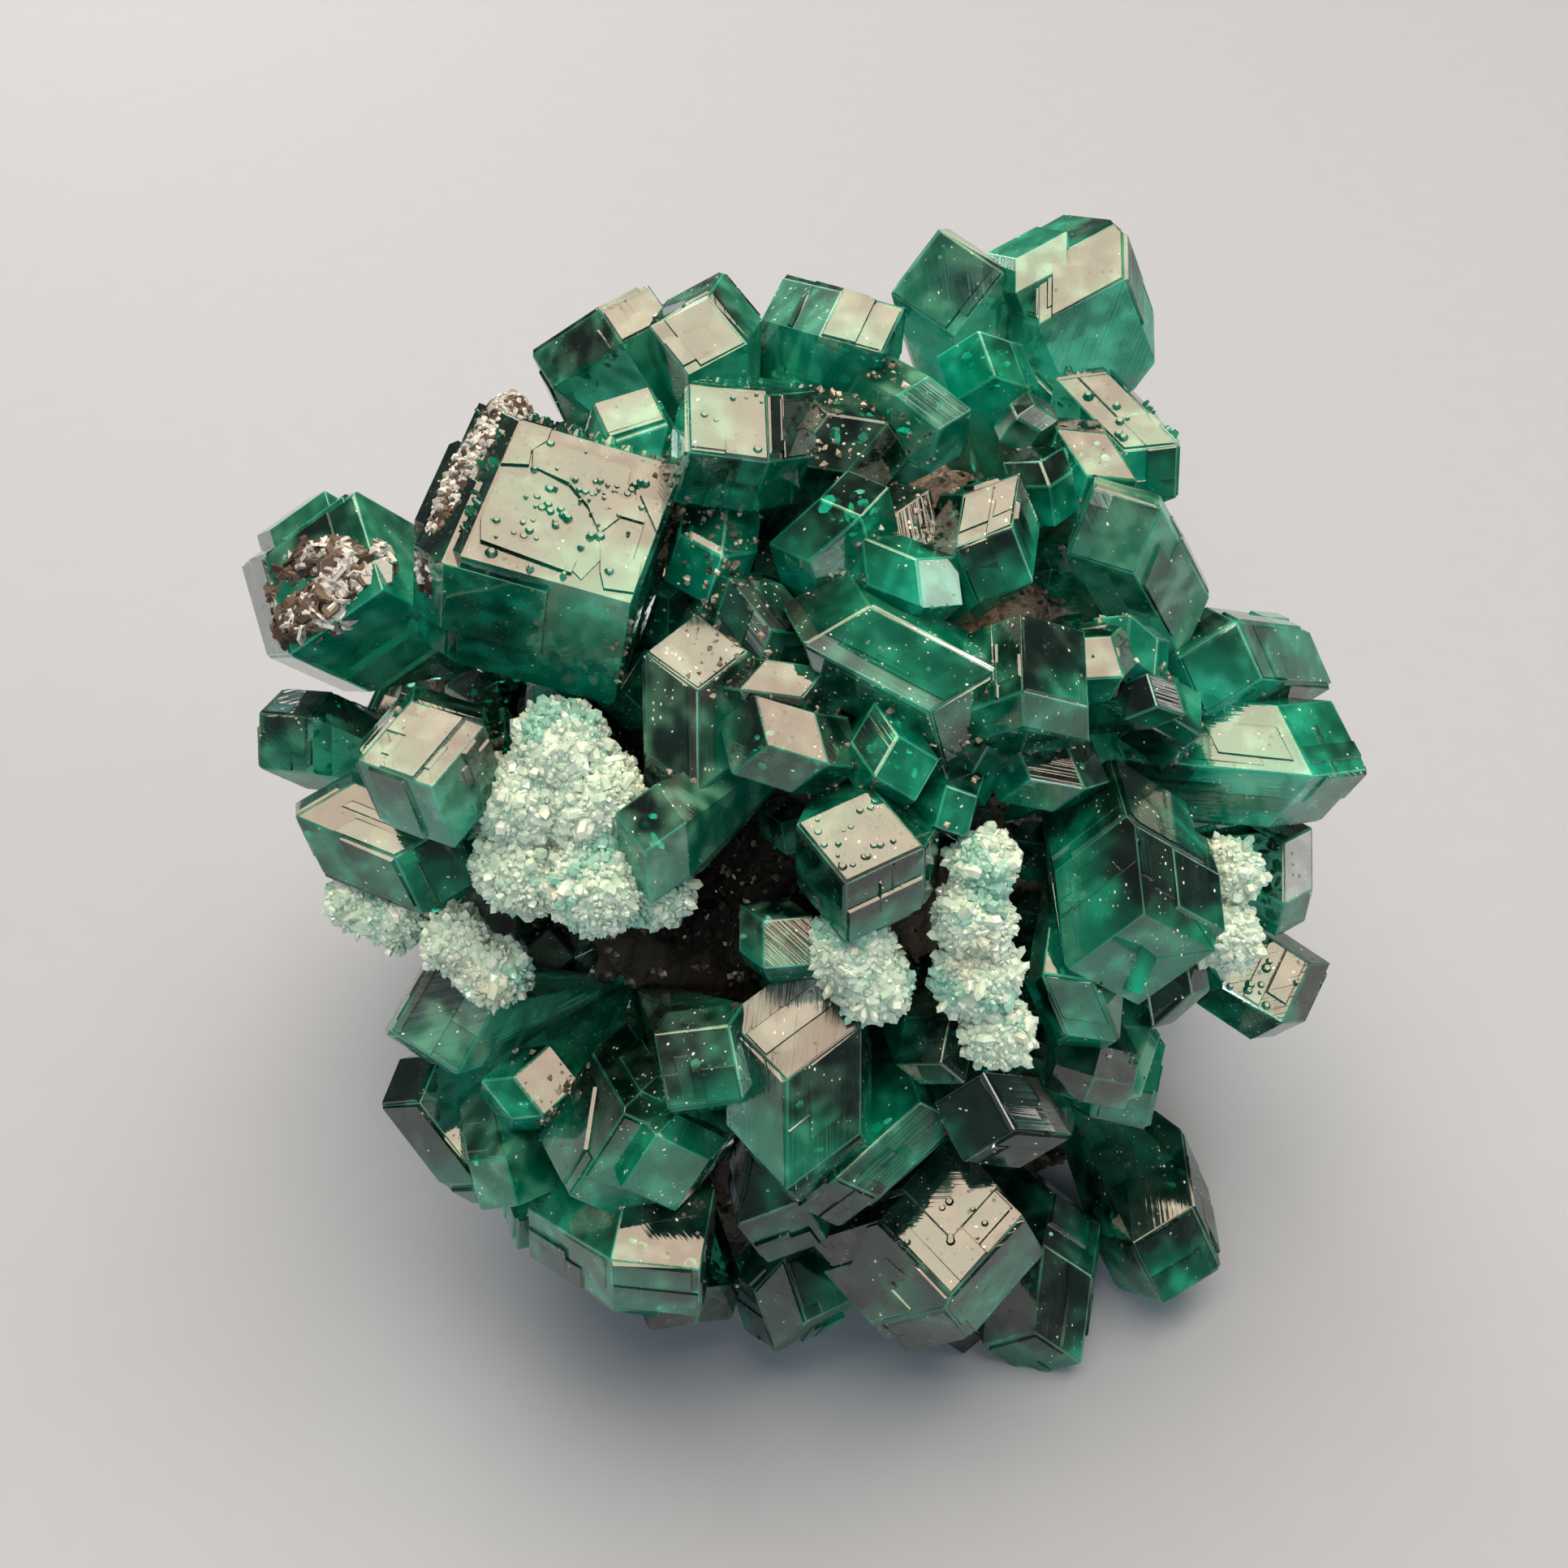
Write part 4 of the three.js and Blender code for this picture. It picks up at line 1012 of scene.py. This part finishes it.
druseSet = {
    # lumps as x, y, z, radius (mm) of each patch
    "patches": {
        "left_druse": [(-4.0, -6.7, 14.2, 0.9), (-4.6, -7.1, 13.3, 0.95), (-3.4, -7.2, 13.4, 0.95),
                       (-4.7, -7.7, 12.2, 0.95), (-3.4, -8.2, 12.3, 0.95), (-2.4, -7.9, 11.9, 0.75)],
        "edge_druse": [(-8.2, -6.6, 10.2, 0.6), (-7.4, -7.0, 10.2, 0.6)],
        "centre_druse": [(1.2, -9.1, 11.5, 0.75), (1.6, -9.3, 10.8, 0.7)],
        "hanging_druse": [(3.6, -8.0, 12.6, 0.6), (3.4, -8.5, 11.7, 0.75), (3.5, -9.0, 10.7, 0.8),
                          (3.9, -9.5, 9.7, 0.65)],
        "right_druse": [(8.7, -5.9, 10.3, 0.65), (8.6, -6.7, 9.4, 0.7)],
        "front_left_druse": [(-6.1, -7.9, 10.4, 0.65), (-5.4, -8.3, 10.0, 0.65)],
    },
    "base": 0.93, "perArea": 105, "radius": (0.028, 0.065), "length": (0.05, 0.16), "jitter": 0.8,
    "large": 0.10,                                   # share of larger points
    "white": (0.72, 0.86, 0.78), "ice": (0.50, 0.73, 0.60), "turquoise": (0.08, 0.50, 0.41),
    "buff": (0.56, 0.66, 0.56),
    "greenPatch": (1.1, 0.34), "buffPatch": (0.8, 0.42),   # waves per mm, and from where on
    "stray": 0.12, "rough": 0.12, "shade": 0.96,
}


def druseMaterial():
    material, tree, output = newMaterial("druse")
    s = druseSet
    place = addNode(tree, "ShaderNodeTexCoord", {}, {}).out("Object")
    tint = addNode(tree, "ShaderNodeAttribute", {"attribute_name": "tint"}, {})
    fine = addNode(tree, "ShaderNodeTexNoise", {}, {"Vector": place, "Scale": 9000.0, "Detail": 1.0})
    frost = fine.over(0.45, 0.75)
    bump = addNode(tree, "ShaderNodeBump", {}, {"Strength": 0.4, "Distance": 0.00002, "Height": fine})
    icy = addNode(tree, "ShaderNodeBsdfPrincipled", {}, {
        "Base Color": (frost * 0.4).mix(tint, s["white"]), "Roughness": frost * 0.3 + 0.10, "IOR": 1.6,
        "Normal": bump})
    showShader(tree, icy, output)
    return material


def druseTints(places, rng):
    # white and ice points, turquoise and buff ones in patches
    s = druseSet
    white, ice, turquoise, buff = (np.array(s[k]) for k in ("white", "ice", "turquoise", "buff"))
    share = rng.random((len(places), 1))
    tints = white * share + ice * (1 - share)
    (greenWaves, greenFrom), (buffWaves, buffFrom) = s["greenPatch"], s["buffPatch"]
    green = np.array([noise.noise(Vector(p * greenWaves)) for p in places])[:, None]
    green = green + rng.normal(0, s["stray"], green.shape)
    warm = np.array([noise.noise(Vector(p * buffWaves + 40)) for p in places])[:, None]
    warm = warm + rng.normal(0, s["stray"], warm.shape)
    tints = np.where(green > greenFrom, turquoise * 0.6 + tints * 0.4, tints)
    return np.where(warm > buffFrom, buff, tints) * rng.uniform(0.88, 1.08, warm.shape)


def addDruse():
    material = druseMaterial()
    s = druseSet
    rng = np.random.default_rng(31)
    for name, lumps in s["patches"].items():
        gather = SolidMesh()
        for x, y, z, radius in lumps:
            corners, faces = roundLump((x, y, z), (radius * s["base"],) * 3, s["rough"], rng)
            # painted shade: the lump under the points is tinted a little darker than they are
            gather.add(corners, faces, druseTints(corners, rng) * s["shade"])
            count = int(4 * math.pi * radius ** 2 * s["perArea"])
            places, normals, _ = samplePoints(corners, np.array(faces), count, rng)
            keep = depthIn(places) > -0.05
            places, normals = places[keep], normals[keep]
            n = len(places)
            large = np.where(rng.random(n) < s["large"], 2.0, 1.0)
            wide = rng.uniform(*s["radius"], n) * large
            long = rng.uniform(*s["length"], n) * large
            gather.scatter(pointShape(), places, standingFrames(normals, s["jitter"], rng),
                           np.stack([wide, wide, long], 1), druseTints(places, rng))
        piece = gather.finish(name.replace("_", ".") + ".points", material)
        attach(piece, "root")
        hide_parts(name)
    print("druse made")


addDruse()

# matrix rock

rockSet = {
    "voxel": 0.17, "sink": 0.30,                     # mm
    "lumps": ((0.35, 0.60), (0.9, 0.50), (1.9, 0.34), (3.6, 0.14)),   # waves per mm, height mm
    "brown": (0.15, 0.115, 0.085), "grey": (0.30, 0.28, 0.24), "dark": (0.03, 0.026, 0.02),
    "white": (0.74, 0.72, 0.64), "rust": (0.20, 0.13, 0.075), "cream": (0.52, 0.46, 0.36),
    "green": (0.03, 0.22, 0.15),
    "hollow": ((-2.5, -7.4, 10.3), (3.9, 4.6, 2.6)), "stainAndShade": (0.85, 0.02),   # painted shade: the rock is painted dark inside it, where the hollow lies in shade
    "grains": 9000, "tries": 3, "grain": (0.04, 0.16), "clump": (-0.6, 0.5),
    "lip": ((-2.6, -8.4, 9.2), 1.9),                 # the hollow's lower lip is full of grains
    "shares": (5, 4, 3, 1.6, 1.4, 1.0),
}


def stoneMaterial(name, stainAndShade=1.0):
    material, tree, output = newMaterial(name)
    s = rockSet
    place = addNode(tree, "ShaderNodeTexCoord", {}, {}).out("Object")
    tint = addNode(tree, "ShaderNodeAttribute", {"attribute_name": "tint"}, {})
    stain = addNode(tree, "ShaderNodeTexNoise", {}, {
        "Vector": place, "Scale": 380.0, "Detail": 2.0, "Roughness": 0.65})
    speck = addNode(tree, "ShaderNodeTexVoronoi", {}, {"Vector": place, "Scale": 9000.0})
    pick = addNode(tree, "ShaderNodeSeparateColor", {}, {0: speck.out("Color")})
    fine = addNode(tree, "ShaderNodeTexNoise", {}, {"Vector": place, "Scale": 9000.0, "Detail": 1.0})
    base = (stain.over(0.40, 0.62) * 0.55 * stainAndShade).mix(tint, s["dark"])
    rusty = (stain.over(0.60, 0.70) * 0.15 * stainAndShade).mix(base, s["rust"])
    light = (pick.out("Red").over(0.86, 0.90) * 0.45).mix(rusty, tint)
    colour = (pick.out("Green").over(0.78, 0.86) * 0.55).mix(light, s["dark"])
    bump = addNode(tree, "ShaderNodeBump", {}, {"Strength": 0.6, "Distance": 0.00004, "Height": fine})
    stone = addNode(tree, "ShaderNodeBsdfPrincipled", {}, {
        "Base Color": colour, "Roughness": 0.85 - pick.out("Blue").over(0.75, 0.85) * 0.6,
        "Specular IOR Level": 0.25, "Normal": bump})
    showShader(tree, stone, output)
    return material


def addRock():
    s = rockSet
    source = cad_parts["matrix"]
    copy = bpy.data.objects.new("rock", source.data.copy())
    bpy.context.scene.collection.objects.link(copy)
    remesh = copy.modifiers.new("voxels", "REMESH")
    remesh.mode = "VOXEL"
    remesh.voxel_size = s["voxel"] * mm
    graph = bpy.context.evaluated_depsgraph_get()
    fine = bpy.data.meshes.new_from_object(copy.evaluated_get(graph))
    bpy.data.objects.remove(copy)
    corners = np.array([v.co for v in fine.vertices]) / mm
    normals = np.array([v.normal for v in fine.vertices])
    faces = [tuple(p.vertices) for p in fine.polygons]
    bpy.data.meshes.remove(fine)
    rough = np.zeros(len(corners))
    for waves, high in s["lumps"]:
        rough += high * np.array([noise.noise(Vector(c * waves)) for c in corners])
    corners = corners + normals * (rough - s["sink"])[:, None]
    rng = np.random.default_rng(41)
    gather = SolidMesh()
    blotch = np.array([noise.noise(Vector(c * 0.45)) for c in corners])
    share = np.clip(blotch + 0.45, 0, 1)[:, None]
    # painted shade: the rock's tint grows dark towards the middle of the hollow
    hollow = np.linalg.norm((corners - placed - s["hollow"][0]) / s["hollow"][1], axis=1)
    shade = np.clip(hollow - s["stainAndShade"][0], s["stainAndShade"][1], 1)[:, None]
    gather.add(corners, faces, (np.array(s["brown"]) * (1 - share) + np.array(s["grey"]) * share) * shade)
    triangles = np.array([f[:3] for f in faces] + [(f[0], f[2], f[3]) for f in faces if len(f) == 4])
    places, ways, _ = samplePoints(corners, triangles, s["grains"] * s["tries"], rng)
    clump = np.array([noise.noise(Vector(p * 0.8)) for p in places]) > rng.uniform(*s["clump"], len(places))
    lip = np.linalg.norm(places - placed - s["lip"][0], axis=1) < s["lip"][1]
    keep = (clump | lip) & (depthIn(places) > -0.02)
    places, ways = places[keep][:s["grains"]], ways[keep][:s["grains"]]
    n = len(places)
    colours = [s[k] for k in ("brown", "grey", "dark", "white", "rust", "green")]
    sizes = rng.uniform(*s["grain"], (n, 1)) * rng.uniform(0.6, 1.2, (n, 3))
    gather.scatter(grainShape(), places, standingFrames(ways, 0.8, rng), sizes,
                   mixTints(colours, s["shares"], n, 0.25, rng))
    piece = gather.finish("matrix.rock", stoneMaterial("rock"))
    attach(piece, "root")
    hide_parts("matrix")
    print("rock made:", len(corners), "corners,", n, "grains")


addRock()

# crusts on the left crystals

crustSet = {
    # lumps as x, y, z and half sizes (mm), flakes on each, size of a flake
    "flaky_crust": {
        "lumps": [(-9.3, -3.0, 15.0, 0.8, 0.8, 0.65), (-8.5, -2.9, 15.7, 1.0, 0.9, 0.6),
                  (-7.8, -3.4, 15.8, 0.85, 0.85, 0.6), (-8.3, -3.8, 15.3, 0.9, 0.8, 0.7),
                  (-9.0, -3.9, 14.8, 0.8, 0.85, 0.85)],
        "base": 0.62, "flakes": 150, "wide": (0.08, 0.26), "thick": (0.03, 0.07), "jitter": 0.28,
        "silver": 0.55,
    },
    "edge_crust": {
        "lumps": [(-5.0, -2.0, 18.2, 0.6, 0.8, 0.5), (-5.3, -2.8, 18.1, 0.55, 0.85, 0.5),
                  (-5.6, -3.5, 17.9, 0.55, 0.85, 0.5), (-5.9, -4.5, 17.5, 0.5, 0.8, 0.6),
                  (-6.1, -5.0, 16.9, 0.55, 0.7, 0.9)],
        "base": 0.6, "flakes": 170, "wide": (0.04, 0.11), "thick": (0.04, 0.10), "jitter": 0.9,
        "silver": 0.9,
    },
}
crustTints = {"brown": (0.15, 0.115, 0.09), "umber": (0.06, 0.045, 0.038), "silver": (0.50, 0.53, 0.53),
              "white": (0.74, 0.78, 0.77)}


def addCrusts():
    material = stoneMaterial("crust", 0.25)
    rng = np.random.default_rng(51)
    for name, s in crustSet.items():
        gather = SolidMesh()
        lumps = np.array(s["lumps"])
        low, high = lumps[:, 0].min() - 1 + placed[0], lumps[:, 0].max() + 1 + placed[0]
        midway = [(lumps[:-1] * (1 - t) + lumps[1:] * t) for t in (0.33, 0.67)]
        for x, y, z, *halves in np.concatenate([lumps, *midway]):
            corners, faces = roundLump((x, y, z), np.array(halves) * s["base"], 0.18, rng)
            gather.add(corners, faces, np.tile(crustTints["umber"], (len(corners), 1)))
            places, ways, _ = samplePoints(corners, np.array(faces), s["flakes"], rng)
            keep = depthIn(places) > -0.03
            places, ways = places[keep], ways[keep]
            n = len(places)
            wide = rng.uniform(*s["wide"], (n, 1)) * rng.uniform(0.7, 1.3, (n, 2))
            sizes = np.concatenate([wide, rng.uniform(*s["thick"], (n, 1))], 1)
            inBrown = (places[:, 0] - low) / (high - low) + rng.normal(0, 0.25, n) < 1 - s["silver"]
            dull = mixTints((crustTints["brown"], crustTints["umber"]), (3, 2), n, 0.3, rng)
            shining = (crustTints["silver"], crustTints["white"], crustTints["brown"])
            shine = mixTints(shining, (4, 2, 1.5), n, 0.2, rng)
            gather.scatter(flakeShape(), places, standingFrames(ways, s["jitter"], rng), sizes,
                           np.where(inBrown[:, None], dull, shine))
        piece = gather.finish(name.replace("_", ".") + ".flakes", material)
        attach(piece, "root")
        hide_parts(name)
    print("crusts made")


addCrusts()

# small crystals in the gaps, on the rock

fillerSet = {
    # a set for all the gaps, and a closer one behind; "behind" is the least y (mm) it grows at
    "small.crystals": {
        "seed": 61, "count": 170, "apart": 0.8, "radius": (0.38, 0.85), "shaft": (0.5, 1.3), "behind": -20,
        "tilt": 0.6, "clear": 0.12, "lowest": 0.9,
    },
    "rear.crystals": {
        "seed": 62, "count": 150, "apart": 0.6, "radius": (0.25, 0.75), "shaft": (0.4, 1.2), "behind": 3.5,
        "tilt": 0.6, "clear": 0.08, "lowest": 0.6,
    },
}


fillerLimits = {
    "tries": 9000, "druseGap": 0.25, "bevel": 0.02,
    "hollow": ((-3.0, -7.6, 10.2), (3.2, 4.0, 2.2)),               # stays free of them
    "hazeAndSheen": (0, 0.4), "flecks": (0.2, 0.8), "stripes": (0, 0.5), "pits": 0.3, "bright": (0.03, 0.38),
}


def addFillers(name, s):
    limits = fillerLimits
    rng = np.random.default_rng(s["seed"])
    corners, triangles = nodeMesh("matrix")
    places, ways, _ = samplePoints(corners, triangles, limits["tries"], rng)
    hollow = np.linalg.norm((places - placed - limits["hollow"][0]) / limits["hollow"][1], axis=1)
    good = (depthIn(places) > s["clear"]) & (hollow > 1)
    good &= (places[:, 2] > s["lowest"]) & (places[:, 1] > s["behind"])
    for patch in druseSet["patches"].values():
        for x, y, z, radius in patch:
            good &= np.linalg.norm(places - placed - (x, y, z), axis=1) > radius + limits["druseGap"]
    chosen = []
    gather = CrystalMesh()
    for place, way in zip(places[good], ways[good]):
        if len(chosen) == s["count"] or any(np.linalg.norm(place - c) < s["apart"] for c in chosen):
            continue
        chosen.append(place)
        axis = way + rng.normal(0, s["tilt"], 3)
        axis /= np.linalg.norm(axis)
        radius, shaft = rng.uniform(*s["radius"]), rng.uniform(*s["shaft"])
        normals, reaches = crystalPlanes(radius, shaft, rng.random)
        heading, rise = math.degrees(math.atan2(axis[1], axis[0])), math.degrees(math.asin(axis[2]))
        turn = turnMatrix(heading, rise, rng.uniform(0, 120))
        points = planeCorners(normals, reaches) @ turn.T + place
        low = points[:, 2].min()
        points[:, 2] -= min(0, low)
        turned = normals @ turn.T
        lifted = place - (0, 0, min(0, low))
        flats, _ = bodyFaces(points, turned, reaches + turned @ lifted)
        look = [rng.uniform(*limits[k]) for k in ("hazeAndSheen", "flecks", "stripes")]
        look = (*look, limits["pits"], rng.uniform(*limits["bright"]))
        gather.add(points, flats, [], axis, look, rng, limits["bevel"])
        outerFaces.extend((points[ring], normal, len(convexBodies)) for ring, normal, _ in flats)
        convexBodies.append((turned, reaches + turned @ lifted, points, radius))
    piece = gather.finish(name, dioptase)
    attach(piece, "root")
    print(name, "made:", len(chosen))


for fillerName, fillerValues in fillerSet.items():
    addFillers(fillerName, fillerValues)

# bright flashes inside the crystals

flashSet = {
    "smallest": 0.75, "per": 6, "depth": (0.12, 0.7), "wide": (0.03, 0.13), "thick": 0.012,
    "facing": (0, -0.26, 0.96), "jitter": 0.28, "inside": 0.10,
    "cyan": (0.03, 0.72, 0.66), "green": (0.03, 0.60, 0.36), "white": (0.75, 0.85, 0.80),
}


def flashMaterial():
    material, tree, output = newMaterial("flash")
    place = addNode(tree, "ShaderNodeTexCoord", {}, {}).out("Object")
    tint = addNode(tree, "ShaderNodeAttribute", {"attribute_name": "tint"}, {})
    grain = addNode(tree, "ShaderNodeTexNoise", {}, {"Vector": place, "Scale": 6000.0, "Detail": 2.0})
    colour = (grain.over(0.5, 0.8) * 0.5).mix(tint, flashSet["white"])
    shine = addNode(tree, "ShaderNodeBsdfPrincipled", {}, {
        "Base Color": colour, "Metallic": 0.85, "Roughness": grain * 0.25 + 0.08})
    showShader(tree, shine, output)
    return material


def addFlashes():
    s = flashSet
    rng = np.random.default_rng(71)
    gather = SolidMesh()
    colours = (s["cyan"], s["green"], s["white"])
    for corners, normal, n in outerFaces:
        normals, reaches, _, radius = convexBodies[n]
        if radius < s["smallest"]:
            continue
        count = int(s["per"] * faceArea(corners, normal) ** 0.5)
        weights = rng.dirichlet(np.ones(len(corners)), count)
        places = weights @ corners - normal * rng.uniform(*s["depth"], (count, 1))
        places = places[((places @ normals.T) < reaches - s["inside"]).all(1)]
        count = len(places)
        if not count:
            continue
        ways = np.tile(s["facing"], (count, 1))
        wide = rng.uniform(*s["wide"], (count, 1)) * rng.uniform(0.5, 1.6, (count, 2))
        sizes = np.concatenate([wide, np.full((count, 1), s["thick"])], 1)
        gather.scatter(flakeShape(), places, standingFrames(ways, s["jitter"], rng), sizes,
                       mixTints(colours, (4, 3, 1), count, 0.2, rng))
    piece = gather.finish("inner.flashes", flashMaterial())
    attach(piece, "root")
    print("flashes made:", gather.count // 12)


addFlashes()

# grains caught in the crevices

creviceSet = {
    "tries": 110000, "near": 0.22, "size": (0.025, 0.10), "share": 0.40,
    # middle (mm), radius, share kept: where the photo shows many grains
    "beds": [((1.4, -1.6, 17.6), 1.6, 1.0), ((2.8, -2.2, 17.0), 1.6, 1.0), ((-1.8, -3.0, 16.6), 1.5, 1.0),
             ((-3.0, -5.2, 15.0), 1.6, 1.0), ((-1.8, -5.0, 15.4), 1.6, 1.0), ((-5.4, -5.0, 13.6), 1.6, 1.0),
             ((-4.0, -8.7, 8.5), 1.7, 1.0)],
    "shares": (3, 4, 1.5, 3, 5, 0.5),
}


def addCrevices(material):
    s = creviceSet
    rng = np.random.default_rng(81)
    points, triangles, owners = [], [], []
    for corners, _, n in outerFaces:
        for k in range(1, len(corners) - 1):
            triangles.append((len(points), len(points) + k, len(points) + k + 1))
            owners.append(n)
        points.extend(corners)
    places, ways, pick = samplePoints(np.array(points), np.array(triangles), s["tries"], rng)
    out = depthIn(places, np.array(owners)[pick])
    share = np.full(len(places), s["share"])
    reach = np.full(len(places), s["near"])
    for middle, radius, kept in s["beds"]:
        inBed = np.linalg.norm(places - placed - middle, axis=1) < radius
        share[inBed] = kept
        reach[inBed] = 3 * s["near"]
    keep = (out > 0) & (out < reach * rng.random(len(places))) & (rng.random(len(places)) < share)
    places, ways = places[keep], ways[keep]
    n = len(places)
    sizes = rng.uniform(*s["size"], (n, 1)) * rng.uniform(0.6, 1.2, (n, 3))
    colours = [rockSet[k] for k in ("brown", "grey", "dark", "white", "cream", "green")]
    gather = SolidMesh()
    gather.scatter(grainShape(), places, standingFrames(ways, 0.8, rng), sizes,
                   mixTints(colours, s["shares"], n, 0.25, rng))
    piece = gather.finish("crevice.grains", material)
    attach(piece, "root")
    print("crevice grains made:", n)


addCrevices(stoneMaterial("grains"))

# floor

floorSet = {"size": 400, "colour": (0.335, 0.395, 0.475)}


def addFloor():
    material, tree, output = newMaterial("floor")
    place = addNode(tree, "ShaderNodeTexCoord", {}, {}).out("Object")
    grain = addNode(tree, "ShaderNodeTexNoise", {}, {"Vector": place, "Scale": 900.0, "Detail": 1.0})
    colour = grain.mix(tuple(v * 0.97 for v in floorSet["colour"]), floorSet["colour"])
    plain = addNode(tree, "ShaderNodeBsdfPrincipled", {}, {"Base Color": colour, "Roughness": 0.75})
    showShader(tree, plain, output)
    half = floorSet["size"] * mm / 2
    mesh = bpy.data.meshes.new("floor")
    corners = [(-half, -half, 0), (half, -half, 0), (half, half, 0), (-half, half, 0)]
    mesh.from_pydata(corners, [], [(0, 1, 2, 3)])
    mesh.materials.append(material)
    floor = bpy.data.objects.new("floor", mesh)
    bpy.context.scene.collection.objects.link(floor)


addFloor()
